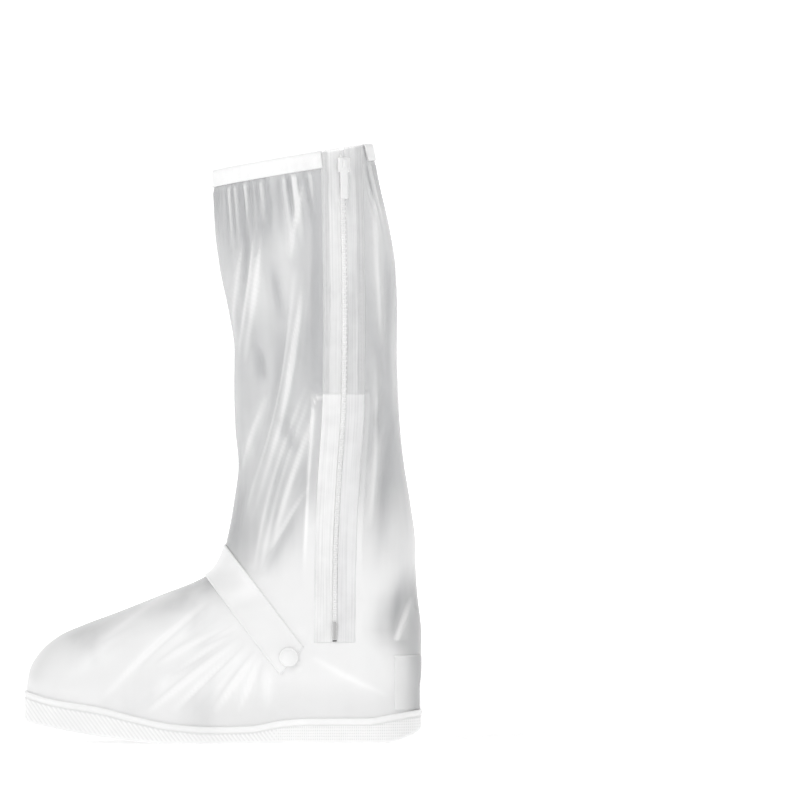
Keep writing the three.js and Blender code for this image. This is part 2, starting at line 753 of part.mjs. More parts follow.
// The patch welded round the back of the heel, above the sole's wall.
function heelPatchGeometry() {
  const low = soleWallHeight * 1.01 + clearance + 0.4;
  const rows = 3;
  const cols = 18;
  const face = (offset) => {
    const grid = [];
    for (let i = 0; i <= rows; i += 1) {
      const z = low + ((patchTop - low) * i) / rows;
      const back = cutAt(z).back;
      const row = [];
      for (let j = 0; j <= cols; j += 1) {
        const swing = (2 * j) / cols - 1;
        const x = back - (back - (half - patchReach)) * swing * swing;
        row.push(onFilm(x, z, swing < 0 ? -1 : 1, offset));
      }
      grid.push(row);
    }
    return grid;
  };
  return sheetGeometry(face(clearance + patchThickness), face(clearance), false);
}

// The inner sheet of film that closes the leg behind the zip's teeth.
function gussetGeometry() {
  const outside = -filmThickness - clearance - 0.4;
  return stripOnFilm(gussetWidth, gussetBottom, gussetTop, outside - gussetThickness, outside, 0, 10, 5);
}

const filmLook = { color: 0xdfe0e1, roughness: 0.28, metalness: 0, transparent: true, opacity: 0.6 };
const soleLook = { color: 0xf3f3f2, roughness: 0.45, metalness: 0 };
const strapLook = { color: 0xfafafa, roughness: 0.35, metalness: 0 };
const wovenLook = { color: 0xf4f4f3, roughness: 0.85, metalness: 0 };
const toothLook = { color: 0xf0f0ee, roughness: 0.4, metalness: 0 };
const stopLook = { color: 0x9c9c9c, roughness: 0.4, metalness: 0.2 };

const cover = new THREE.Group();

function addPiece(name, geometry, look) {
  const mesh = new THREE.Mesh(geometry, new THREE.MeshStandardMaterial(look));
  mesh.name = name;
  cover.add(mesh);
}

const tapeShift = (zipChainWidth + zipTapeWidth) / 2 + clearance;
addPiece("sole", soleGeometry(), soleLook);
addPiece("film_foot", sleeveGeometry(footLevels()), filmLook);
addPiece("film_leg", sleeveGeometry(legLevels()), filmLook);
addPiece("heel_patch", heelPatchGeometry(), filmLook);
addPiece("zip_gusset", gussetGeometry(), filmLook);
for (const [name, shift] of [["zip_tape_front", -tapeShift], ["zip_tape_back", tapeShift]]) {
  const outside = clearance + zipTapeThickness;
  addPiece(name, stripOnFilm(zipTapeWidth, zipBottom, zipTop(), clearance, outside, shift), wovenLook);
}
addPiece("zip_chain", zipChainGeometry(), toothLook);
addPiece("zip_stop", stopGeometry(), stopLook);
addPiece("zip_slider", sliderGeometry(), toothLook);
addPiece("top_band", bandGeometry(), wovenLook);
addPiece("strap", strapGeometry(), strapLook);
for (const [name, side] of [["outer", -1], ["inner", 1]]) {
  addPiece(`snap_cap_${name}`, snapCapGeometry(side), strapLook);
  addPiece(`snap_base_${name}`, snapBaseGeometry(side), strapLook);
}

export default cover;
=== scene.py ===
import math

import bpy
import numpy as np
from mathutils import Matrix, Vector


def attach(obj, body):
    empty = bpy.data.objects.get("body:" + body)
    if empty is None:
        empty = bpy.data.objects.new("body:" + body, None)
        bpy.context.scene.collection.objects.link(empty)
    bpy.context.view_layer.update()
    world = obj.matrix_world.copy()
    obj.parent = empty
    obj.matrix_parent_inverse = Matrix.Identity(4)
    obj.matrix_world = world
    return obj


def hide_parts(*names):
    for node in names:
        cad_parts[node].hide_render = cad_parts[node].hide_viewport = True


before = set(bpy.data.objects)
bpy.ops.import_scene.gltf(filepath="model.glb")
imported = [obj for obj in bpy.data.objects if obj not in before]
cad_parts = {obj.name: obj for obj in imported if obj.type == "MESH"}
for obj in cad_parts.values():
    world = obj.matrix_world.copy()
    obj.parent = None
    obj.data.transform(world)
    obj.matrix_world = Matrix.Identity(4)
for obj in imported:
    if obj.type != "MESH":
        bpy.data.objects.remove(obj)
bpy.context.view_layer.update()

milli = 0.001

cover = {
    "soleLength": 300, "ballWidth": 112, "coverHeight": 451, "rimDrop": 20, "instepHeight": 146,
    "calfDepth": 132, "calfWidth": 116, "legOffset": 65, "clearance": 0.3,
    "wallHeight": 24, "soleWall": 2.2, "soleThickness": 4, "toeLift": 15.5, "heelLift": 10,
    "flatFront": -40, "flatBack": 115, "bandHeight": 13,
}
soleLong = cover["soleLength"]
halfLong = soleLong / 2
topHeight = cover["coverHeight"]

# level cuts through the foot, as shares of instepHeight, soleLength and ballWidth
footRows = [
    # height, front, back, width, nose, heel, waist
    (0.366, -0.485, 0.495, 0.925, 0.25, 0.15, 0.79),
    (0.46, -0.46, 0.496, 0.88, 0.26, 0.15, 0.85),
    (0.547, -0.41, 0.497, 0.82, 0.28, 0.15, 0.92),
    (0.594, -0.359, 0.496, 0.8, 0.3, 0.15, 0.95),
    (0.671, -0.259, 0.492, 0.777, 0.33, 0.15, 0.98),
    (0.754, -0.158, 0.487, 0.768, 0.36, 0.155, 1),
    (0.836, -0.058, 0.484, 0.78, 0.33, 0.165, 1),
    (0.88, -0.025, 0.483, 0.79, 0.3, 0.175, 1),
    (0.94, -0.005, 0.482, 0.8, 0.265, 0.19, 1),
    (1, 0.006, 0.482, 0.821, 0.245, 0.21, 1),
]
# level cuts through the leg, as shares of its height, calfDepth and calfWidth
legRows = [
    # height, front, back, width
    (0.12, -0.425, 0.57, 0.853),
    (0.206, -0.402, 0.538, 0.887),
    (0.3, -0.42, 0.515, 0.912),
    (0.4, -0.427, 0.503, 0.947),
    (0.49, -0.425, 0.497, 0.965),
    (0.58, -0.455, 0.5, 0.985),
    (0.69, -0.507, 0.49, 1),
    (0.79, -0.535, 0.455, 0.995),
    (0.9, -0.542, 0.395, 0.965),
    (1, -0.538, 0.35, 0.925),
]
# top edge of the sole's wall: share of the length from the toe, share of wallHeight
wallRows = [
    (0, 1.63), (0.065, 1.41), (0.19, 1.16), (0.28, 0.88), (0.375, 0.63), (0.477, 0.53),
    (0.565, 0.55), (0.66, 0.74), (0.724, 0.785), (0.864, 0.79), (0.925, 0.91), (1, 1.04),
]
# middle of the zip: share of coverHeight, share of soleLength
zipRows = [(0.168, 0.281), (0.31, 0.283), (0.433, 0.291), (0.572, 0.303), (0.705, 0.305), (1, 0.297)]


def smooth(share):
    s = np.clip(share, 0, 1)
    return s * s * (3 - 2 * s)


class Curve:
    # One column of a table against its first, as a smooth curve within the table's values.

    def __init__(self, rows, column=1, key=lambda k: k, value=lambda v: v):
        self.k = np.array([key(r[0]) for r in rows], float)
        self.v = np.array([value(r[column]) for r in rows], float)
        d = np.diff(self.v) / np.diff(self.k)
        m = np.empty(len(self.v))
        m[0], m[-1] = d[0], d[-1]
        both = d[:-1] * d[1:]
        total = np.where(d[:-1] + d[1:] == 0, 1, d[:-1] + d[1:])
        m[1:-1] = np.where(both > 0, 2 * both / total, 0)
        self.m = m

    def __call__(self, at):
        at = np.asarray(at, float)
        i = np.clip(np.searchsorted(self.k, at, side="right") - 1, 0, len(self.k) - 2)
        span = self.k[i + 1] - self.k[i]
        t = np.clip((at - self.k[i]) / span, 0, 1)
        m0, m1 = self.m[i] * span, self.m[i + 1] * span
        rise = self.v[i + 1] - self.v[i]
        return self.v[i] + t * (m0 + t * (3 * rise - 2 * m0 - m1 + t * (m0 + m1 - 2 * rise)))


def soleCut(inset):
    # front, back, half width, nose, heel and waist of the sole's outline
    halfWidth, nose, heel, waist = cover["ballWidth"] / 2, 0.25 * soleLong, 0.15 * soleLong, 0.735
    return -halfLong + inset, halfLong - inset, halfWidth - inset, nose - inset, heel - inset, waist


def sectionTable():
    inside = cover["soleWall"] + cover["clearance"]
    rows = [(0, *soleCut(inside)), (1.63 * cover["wallHeight"], *soleCut(inside))]
    for h, front, back, width, nose, heel, waist in footRows:
        rows.append((
            h * cover["instepHeight"], front * soleLong, back * soleLong,
            width * cover["ballWidth"] / 2, nose * soleLong, heel * soleLong, waist))
    for h, front, back, width in legRows:
        level = cover["instepHeight"] + h * (topHeight - cover["instepHeight"])
        depth = (back - front) * cover["calfDepth"] / 2
        middle = cover["legOffset"]
        rows.append((
            level, middle + front * cover["calfDepth"], middle + back * cover["calfDepth"],
            width * cover["calfWidth"] / 2, depth, depth, 1))
    return rows


sections = sectionTable()
cutFront, cutBack, cutWidth, cutNose, cutHeel, cutWaist = (Curve(sections, c) for c in range(1, 7))
wallCurve = Curve(wallRows, key=lambda k: k * soleLong - halfLong, value=lambda v: v * cover["wallHeight"])
zipCurve = Curve(zipRows, key=lambda k: k * topHeight, value=lambda v: v * soleLong)


def squared(x, front, back, width, nose, heel, waist):
    def rounded(share):
        return np.where(share < 1, 1 - (1 - share) ** 2, 1)
    ends = rounded((x - front) / nose) * rounded((back - x) / heel)
    drawn = 1 - (1 - waist) * smooth((x + 0.2 * soleLong) / (0.4 * soleLong))
    return (width * drawn) ** 2 * ends


def filmSquared(x, z):
    return squared(x, cutFront(z), cutBack(z), cutWidth(z), cutNose(z), cutHeel(z), cutWaist(z))


def filmNormal(x, y, z):
    step = 0.5
    n = np.stack([
        -(filmSquared(x + step, z) - filmSquared(x - step, z)) / 2 / step,
        2 * y,
        -(filmSquared(x, z + step) - filmSquared(x, z - step)) / 2 / step,
    ], -1)
    return n / np.maximum(np.linalg.norm(n, axis=-1, keepdims=True), 1e-9)


def onFilm(x, z, side, offset=0.0):
    # Points of the smooth film at places in the side view, moved out by offset.
    x, z, side, offset = np.broadcast_arrays(x, z, side, offset)
    y = side * np.sqrt(np.maximum(filmSquared(x, z), 0))
    p = np.stack([x, y, z], -1).astype(float)
    return p + filmNormal(x, y, z) * offset[..., None]


def lift(x):
    toe = np.maximum(0, (cover["flatFront"] - x) / (cover["flatFront"] + halfLong))
    heel = np.maximum(0, (x - cover["flatBack"]) / (halfLong - cover["flatBack"]))
    return cover["toeLift"] * toe ** 1.4 + cover["heelLift"] * heel ** 2.2


rimHeight = topHeight - 1 - cover["clearance"]
floorHeight = cover["soleThickness"] + cover["clearance"]


def rimAt(x):
    front, back = cutFront(topHeight), cutBack(topHeight)
    return rimHeight - cover["rimDrop"] * (back - x) / (back - front)


def rowShift(level, x):
    curl = 1 - smooth((level - floorHeight) / (0.5 * cover["instepHeight"]))
    slant = smooth((level - cover["instepHeight"]) / (rimHeight - cover["instepHeight"]))
    return curl * lift(x) + slant * (rimAt(x) - rimHeight)


def rowPoint(turn, heightAt):
    x = np.zeros_like(turn)
    z = heightAt(x)
    for _ in range(6):
        back, front = cutBack(z), cutFront(z)
        x = back + (front - back) * (1 - np.cos(turn)) / 2
        z = heightAt(x)
    return x, z


def zipTop():
    return float(rimAt(zipCurve(topHeight))) + cover["clearance"] + 1


strapSize = {
    "width": 27, "thickness": 1.4, "crestX": -0.0127 * soleLong, "crestZ": 0.924 * cover["instepHeight"],
    "endX": 0.18 * soleLong, "endZ": 0.408 * cover["instepHeight"], "slack": 0.5, "snapInset": 7, "endCut": 6,
}
strapDX = strapSize["endX"] - strapSize["crestX"]
strapDZ = strapSize["endZ"] - strapSize["crestZ"]
strapLength = math.hypot(strapDX, strapDZ)
strapDX, strapDZ = strapDX / strapLength, strapDZ / strapLength


innerSheetTop = 263


def onStrap(x, z):
    dx, dz = x - strapSize["crestX"], z - strapSize["crestZ"]
    return dx * strapDX + dz * strapDZ, dx * strapDZ - dz * strapDX


# making meshes

def makeObject(name, verts, faces, smoothFaces=True):
    mesh = bpy.data.meshes.new(name)
    points = [tuple(v) for v in np.asarray(verts, float) * milli]
    mesh.from_pydata(points, [], [tuple(int(i) for i in f) for f in faces])
    mesh.validate()
    obj = bpy.data.objects.new(name, mesh)
    bpy.context.collection.objects.link(obj)
    if smoothFaces:
        for p in mesh.polygons:
            p.use_smooth = True
    return obj


def onlySelect(obj):
    bpy.ops.object.select_all(action="DESELECT")
    obj.select_set(True)
    bpy.context.view_layer.objects.active = obj


def applyAll(obj):
    onlySelect(obj)
    for m in list(obj.modifiers):
        bpy.ops.object.modifier_apply(modifier=m.name)


def outward(obj):
    onlySelect(obj)
    bpy.ops.object.mode_set(mode="EDIT")
    bpy.ops.mesh.select_all(action="SELECT")
    bpy.ops.mesh.normals_make_consistent(inside=False)
    bpy.ops.object.mode_set(mode="OBJECT")


def gridFaces(rows, cols, wrap=False, start=0):
    r = np.arange(rows - 1)[:, None]
    c = np.arange(cols if wrap else cols - 1)[None, :]
    d = (c + 1) % cols
    low, high = start + r * cols, start + (r + 1) * cols
    return np.stack([low + c, low + d, high + d, high + c], -1).reshape(-1, 4)


def slab(name, outer, inner, wrap=False):
    # A closed sheet between two grids of points.
    rows, cols = outer.shape[:2]
    n = rows * cols
    faces = [gridFaces(rows, cols, wrap), gridFaces(rows, cols, wrap, n)[:, ::-1]]
    c = np.arange(cols if wrap else cols - 1)
    d = (c + 1) % cols
    faces.append(np.stack([d, c, n + c, n + d], -1))
    e = (rows - 1) * cols
    faces.append(np.stack([e + c, e + d, n + e + d, n + e + c], -1))
    if not wrap:
        r = np.arange(rows - 1) * cols
        s = r + cols
        faces.append(np.stack([r, s, n + s, n + r], -1))
        faces.append(np.stack([s + cols - 1, r + cols - 1, n + r + cols - 1, n + s + cols - 1], -1))
    verts = np.concatenate([outer.reshape(-1, 3), inner.reshape(-1, 3)])
    obj = makeObject(name, verts, np.concatenate(faces))
    outward(obj)
    return obj


def setUV(obj, uv):
    layer = obj.data.uv_layers.new(name="UVMap")
    loops = np.empty(len(obj.data.loops), dtype=np.int32)
    obj.data.loops.foreach_get("vertex_index", loops)
    layer.data.foreach_set("uv", np.asarray(uv, np.float32)[loops].ravel())


def setNumber(obj, name, values):
    attribute = obj.data.attributes.new(name, "FLOAT", "POINT")
    attribute.data.foreach_set("value", np.asarray(values, np.float32))


def finishPiece(obj, node, material):
    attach(obj, "root")
    if node:
        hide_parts(node)
    obj.data.materials.clear()
    obj.data.materials.append(material)
    return obj


# materials

class Maths:
    # A socket that can be used in Python expressions.

    def __init__(self, tree, socket):
        self.tree, self.socket = tree, socket

    def op(self, kind, *others):
        node = self.tree.nodes.new("ShaderNodeMath")
        node.operation = kind
        for i, value in enumerate((self, *others)):
            if isinstance(value, Maths):
                self.tree.links.new(value.socket, node.inputs[i])
            else:
                node.inputs[i].default_value = value
        return Maths(self.tree, node.outputs[0])

    def __add__(self, other):
        return self.op("ADD", other)

    def __sub__(self, other):
        return self.op("SUBTRACT", other)

    def __mul__(self, other):
        return self.op("MULTIPLY", other)

    def __rsub__(self, other):
        return (self * -1.0) + other

    __radd__ = __add__
    __rmul__ = __mul__

    def between(self, low, high):
        node = self.tree.nodes.new("ShaderNodeMapRange")
        node.interpolation_type = "SMOOTHSTEP"
        self.tree.links.new(self.socket, node.inputs["Value"])
        node.inputs["From Min"].default_value = low
        node.inputs["From Max"].default_value = high
        return Maths(self.tree, node.outputs["Result"])


class Material:
    def __init__(self, name):
        self.made = bpy.data.materials.new(name)
        self.made.use_nodes = True
        self.tree = self.made.node_tree
        self.shader = self.tree.nodes["Principled BSDF"]

    def node(self, kind, settings=None, **inputs):
        node = self.tree.nodes.new("ShaderNode" + kind)
        for key, value in (settings or {}).items():
            setattr(node, key, value)
        for key, value in inputs.items():
            self.join(node.inputs[key.replace("_", " ")], value)
        return node

    def join(self, socket, value):
        if isinstance(value, Maths):
            value = value.socket
        if isinstance(value, bpy.types.NodeSocket):
            self.tree.links.new(value, socket)
        else:
            socket.default_value = value

    def number(self, socket):
        return Maths(self.tree, socket)

    def place(self):
        return self.node("TexCoord").outputs["Object"]

    def axes(self, where):
        # x, y and z of a place, in metres
        apart = self.node("SeparateXYZ", Vector=where)
        return [self.number(apart.outputs[i]) for i in range(3)]

    def noise(self, vector, scale, detail=3.0, roughness=0.5):
        node = self.node("TexNoise", Vector=vector, Scale=scale, Detail=detail, Roughness=roughness)
        return self.number(node.outputs[0])

    def stretch(self, vector, scale):
        node = self.node("Mapping", None, Vector=vector)
        node.inputs["Scale"].default_value = scale
        return node.outputs[0]

    def attribute(self, name):
        return self.number(self.node("Attribute", {"attribute_name": name}).outputs["Fac"])

    def set(self, inputs):
        for socketName, value in inputs.items():
            self.join(self.shader.inputs[socketName], value)

    def bump(self, height, distance, strength=1.0):
        node = self.node("Bump", None, Height=height, Strength=strength, Distance=distance)
        self.join(self.shader.inputs["Normal"], node.outputs[0])

    def mixed(self, share, first, second):
        node = self.node("Mix", {"data_type": "RGBA"})
        self.join(node.inputs[0], share)
        node.inputs[6].default_value = (*first, 1)
        node.inputs[7].default_value = (*second, 1)
        return node.outputs[2]


def filmMaterial(name, clear, milky):
    # clear vinyl film: its milkiness, with painted shade and painted light mixed in, makes it whiter and
    # denser; line is painted light and shade, 1 for a painted highlight on a crease and -1 for painted shade
    # in a pocket
    m = Material(name)
    where = m.place()
    milkAndShade = m.attribute("milkAndShade")
    line = m.attribute("line")
    cloud = m.noise(m.stretch(where, (1.0, 1.0, 0.5)), 19.0, 2.0, 0.45)
    streak = m.noise(m.stretch(where, (1.0, 1.0, 0.1)), 70.0, 2.0, 0.5)
    fine = m.noise(where, 240.0, 1.0)
    pale = milkAndShade * 0.66 + (cloud - 0.5) * 1.2 + (streak - 0.5) * 0.4 + line * 0.55 + 0.36
    m.set({
        "Base Color": m.mixed(pale.between(0.0, 1.0), (0.56, 0.565, 0.575), (0.975, 0.975, 0.975)),
        "Roughness": cloud * 0.12 + 0.24,
        "Alpha": milkAndShade * (milky - clear) + (cloud - 0.5) * 0.1 + line.op("ABSOLUTE") * 0.3 + clear,
        "Specular IOR Level": 0.16,
        "IOR": 1.5,
    })
    m.bump(streak * 0.8 + fine * 0.1, 0.0011, 0.4)
    return m.made


def mouldedMaterial(name, colour, roughness=0.42, grain=900.0, depth=0.00012):
    m = Material(name)
    where = m.place()
    spots = m.noise(where, 18.0, 3.0)
    fine = m.noise(where, grain, 2.0)
    darker = tuple(c * 0.93 for c in colour)
    m.set({
        "Base Color": m.mixed(spots.between(0.35, 0.7), darker, colour),
        "Roughness": spots * 0.12 + (roughness - 0.06),
        "Specular IOR Level": 0.45,
    })
    m.bump(fine, depth, 0.5)
    return m.made


def wovenMaterial(name, colour, across, along, solid=1.05, ribs=0.0):
    # fine weave: threads run along and across the piece's UV, which is in metres
    m = Material(name)
    uv = m.node("UVMap", {"uv_map": "UVMap"}).outputs[0]
    u, v, _ = m.axes(uv)
    warp = (u * (2 * math.pi / across)).op("SINE")
    weft = (v * (2 * math.pi / along)).op("SINE")
    weave = warp * weft * 0.5 + 0.5
    where = m.place()
    soft = m.noise(where, 60.0, 3.0)
    rib = m.noise(m.stretch(uv, (1.0, 0.012, 1.0)), 900.0, 1.0)
    darker = tuple(c * 0.84 for c in colour)
    shade = weave * 0.35 + soft * 0.5 + (rib - 0.5) * ribs + 0.3
    m.set({
        "Base Color": m.mixed(shade.between(0.2, 0.85), darker, colour),
        # denser and whiter where the inner sheet lies behind: painted light standing in for the lit sheet
        "Alpha": soft * 0.1 + (rib - 0.5) * (ribs * 0.3) + m.attribute("glowFromSheet") * 0.5 + (solid - 0.05),
        "Roughness": soft * 0.15 + 0.72,
        "Sheen Weight": 0.2,
    })
    m.bump(weave * 0.6 + rib * ribs, 0.00018, 0.8)
    return m.made


filmLook = filmMaterial("film", 0.4, 0.88)
innerFilmLook = filmMaterial("film_inner", 0.07, 0.5)
patchLook = filmMaterial("film_patch", 0.4, 0.85)
soleLook = mouldedMaterial("sole_vinyl", (0.92, 0.92, 0.92))
strapLook = mouldedMaterial("strap_vinyl", (0.95, 0.95, 0.95), 0.33, 500.0, 0.0001)
snapLook = mouldedMaterial("snap_plastic", (0.96, 0.96, 0.96), 0.25, 400.0, 0.00004)
toothLook = mouldedMaterial("tooth_plastic", (0.94, 0.94, 0.94), 0.4)
stopLook = mouldedMaterial("stop_plastic", (0.5, 0.5, 0.5), 0.4)
tapeLook = wovenMaterial("zip_tape", (0.96, 0.96, 0.96), 0.0011, 0.0011, 0.42, 0.55)
# a darker copy of the tape's look: painted shade on the heel-side tape
shadedTapeLook = wovenMaterial("zip_tape_shaded", (0.89, 0.89, 0.895), 0.0011, 0.0011, 0.42, 0.55)
bandLook = wovenMaterial("elastic", (0.96, 0.96, 0.96), 0.0016, 0.0009)
print("materials made")

# film: folds as seen from the side, in shares of soleLength and coverHeight
# side, x0, z0, x1, z1, bow, width mm, depth mm (below 0 is a valley)
folds = [
    (-1, 0.05, 0.95, 0.05, 0.725, -0.02, 5, -2.2),
    (-1, 0.075, 0.95, 0.02, 0.62, 0.01, 5, 1.2),
    (-1, 0.093, 0.9, 0.047, 0.632, -0.02, 6, 1.7),
    (-1, 0.13, 0.93, 0.085, 0.8, 0.01, 5, -1.4),
    (-1, 0.194, 0.79, 0.063, 0.368, -0.035, 7, 2.6),
    (-1, 0.165, 0.74, 0.085, 0.43, -0.03, 8, -2.2),
    (-1, 0.123, 0.8, 0.151, 0.7, 0, 5, -1.6),
    (-1, 0.083, 0.664, 0.103, 0.6, 0, 6, -2.4),
    (-1, 0.224, 0.6, 0.088, 0.284, 0.03, 6, 2.2),
    (-1, 0.205, 0.56, 0.11, 0.33, 0.03, 6, -1.6),
    (-1, 0.241, 0.458, 0.098, 0.262, 0.02, 6, -1.8),
    (-1, 0.148, 0.548, 0.191, 0.48, 0, 5, -1.2),
    (-1, 0.113, 0.583, 0.048, 0.45, 0.01, 4, 1.2),
    (-1, 0.251, 0.577, 0.123, 0.32, 0.02, 4, 1.5),
    (-1, 0.231, 0.443, 0.113, 0.31, 0.015, 4, 1.3),
    (-1, 0.236, 0.46, 0.225, 0.39, 0, 4, -1.6),
    (-1, 0.2, 0.76, 0.155, 0.55, -0.01, 3, 1.0),
    (-1, 0.053, 0.443, 0.03, 0.33, 0.01, 5, -1.6),
    (-1, 0.21, 0.95, 0.17, 0.8, 0.02, 6, 1.4),
    (-1, 0.25, 0.93, 0.235, 0.62, 0.01, 7, -1.3),
    (-1, 0.377, 0.66, 0.367, 0.356, -0.02, 6, 1.6),
    (-1, 0.412, 0.605, 0.357, 0.45, 0.01, 5, -1.2),
    (-1, 0.435, 0.6, 0.4, 0.306, 0.015, 6, -1.6),
    (-1, 0.38, 0.95, 0.4, 0.65, 0.02, 7, 1.5),
    (-1, 0.42, 0.82, 0.425, 0.56, 0.01, 6, -1.3),
    (-1, 0.46, 0.35, 0.42, 0.15, -0.02, 7, -1.5),
    (-1, -0.03, 0.24, -0.3, 0.075, 0.02, 3, 0.9),
    (-1, 0.0, 0.235, -0.22, 0.12, -0.015, 3, -0.8),
    (-1, 0.03, 0.2, -0.17, 0.13, 0.01, 2.5, 0.8),
    (-1, 0.05, 0.194, -0.09, 0.158, 0.01, 3, -0.8),
    (-1, 0.04, 0.19, -0.15, 0.1, 0.012, 2.5, 0.8),
    (-1, 0.038, 0.18, -0.236, 0.05, 0.015, 3, -1.0),
    (-1, 0.05, 0.175, -0.19, 0.05, 0.01, 2.5, 0.9),
    (-1, 0.06, 0.17, -0.13, 0.052, 0, 3, 0.9),
    (-1, 0.068, 0.168, -0.1, 0.05, 0.01, 2.5, -0.8),
    (-1, 0.078, 0.165, -0.07, 0.045, 0.015, 3, -1.0),
    (-1, 0.09, 0.155, -0.02, 0.05, 0.01, 3, 0.9),
    (-1, 0.1, 0.15, 0.04, 0.05, 0.01, 4, 0.8),
    (-1, 0.11, 0.14, 0.113, 0.05, 0, 4, -0.9),
    (-1, 0.13, 0.16, 0.2, 0.12, 0.02, 3, 0.8),
    (-1, 0.21, 0.15, 0.43, 0.075, 0.02, 7, 0.6),
    (-1, 0.2, 0.2, 0.15, 0.1, 0, 8, -0.8),
    (-1, -0.103, 0.262, -0.309, 0.166, 0.01, 6, 0.6),
    (-1, -0.2, 0.2, -0.4, 0.1, 0.015, 6, -0.5),
    (-1, 0.474, 0.246, 0.42, 0.142, 0.01, 3, 1.5),
    (1, 0.05, 0.26, -0.28, 0.08, 0.02, 4, 1.4),
    (1, 0.07, 0.2, -0.2, 0.05, 0.015, 4, -1.5),
    (1, 0.09, 0.17, -0.06, 0.045, 0, 5, 1.2),
    (1, 0.12, 0.15, 0.1, 0.05, 0, 6, -1.3),
    (1, 0.05, 0.94, 0.08, 0.6, 0.02, 6, -1.9),
    (1, 0.1, 0.95, 0.16, 0.56, 0.015, 6, 1.8),
    (1, 0.2, 0.94, 0.13, 0.45, -0.03, 7, -1.9),
    (1, 0.28, 0.95, 0.2, 0.5, 0.02, 6, 2.0),
    (1, 0.36, 0.9, 0.3, 0.4, 0.02, 7, -1.7),
    (1, 0.41, 0.8, 0.37, 0.35, 0.01, 6, 1.5),
    (1, 0.3, 0.55, 0.1, 0.3, 0.03, 6, 1.9),
    (1, 0.22, 0.45, 0.07, 0.27, 0.02, 6, -1.6),
    (1, 0.42, 0.35, 0.38, 0.1, 0.01, 7, -1.3),
]
gathers = {"count": 46, "depth": 1.3, "reach": 60, "seed": 4}


def foldRoom(x, z, side):
    # Where folds may show: not under the zip, strap, band or patch, nor in the sole.
    def free(distance, ramp):
        return smooth(distance / ramp)

    zipRoom = np.where((side < 0) & (z > 66), free(np.abs(x - zipCurve(z)) - 16.5, 7), 1)
    along, across = onStrap(x, z)
    besideStrap = np.abs(across) - strapSize["width"] / 2 - 0.8
    strap = np.maximum(free(besideStrap, 5), free(along - strapLength - 1, 5))
    band = free(rimAt(x) - cover["bandHeight"] - z + 1.5, 5)
    patch = np.where(z < 78, free(halfLong - 23 - x, 6), 1)
    sole = free(z - wallCurve(x) - 0.5, 9)
    ends = smooth((x - cutFront(z)) / 6) * smooth((cutBack(z) - x) / 6)
    return zipRoom * strap * band * patch * sole, ends


def foldHeight(x, z, side, turn):
    total, foldShading = np.zeros_like(x), np.zeros_like(x)
    for s, x0, z0, x1, z1, bow, width, depth in folds:
        px, pz = x - x0 * soleLong, z - z0 * topHeight
        rx, rz = (x1 - x0) * soleLong, (z1 - z0) * topHeight
        length = math.hypot(rx, rz)
        along = (px * rx + pz * rz) / length ** 2
        across = (px * rz - pz * rx) / length - bow * length * np.sin(np.pi * np.clip(along, 0, 1))
        d = np.abs(across) / width
        fade = np.sin(np.pi * np.clip(along, 0, 1))
        total += np.where(side == s, depth * fade / (1 + (1.6 * d) ** 2.2) * smooth((4 - d) / 2), 0)
        mm = d * width
        fine = 1.6 if abs(rx) < 0.5 * abs(rz) else 1.9
        apart = 0.45 * width if depth > 1.65 else 0
        # painted highlight along each crease and painted shade in each pocket, returned as the film's line
        creaseHighlight = 0.75 * np.exp(-((mm - apart) / fine) ** 2) + 0.35 * np.exp(-(mm / 5.5) ** 2)
        pocketShade = -0.65 * np.exp(-(mm / 4.5) ** 2)
        foldShading += np.where(side == s, (creaseHighlight if depth > 0 else pocketShade) * fade * min(1, abs(depth) / 1.5), 0)
    below = (rimAt(x) - cover["bandHeight"] - z) / gathers["reach"]
    rng = np.random.default_rng(gathers["seed"])
    pleat = np.zeros_like(x)
    for k in range(5):
        n = gathers["count"] * (0.55 + 0.2 * k) + rng.integers(-3, 4)
        pleat += np.sin(n * turn + rng.uniform(0, 6) + 0.5 * np.sin(3 * turn + k)) / 2.2
    fade = np.clip(1 - below, 0, 1) ** 1.7 * (below > -0.3)
    # near the band, painted highlight on the pleats' crests and painted shade between them and under the band
    return total, gathers["depth"] * fade * pleat, np.clip(foldShading + fade * (1.1 * pleat - 0.25), -1, 1)


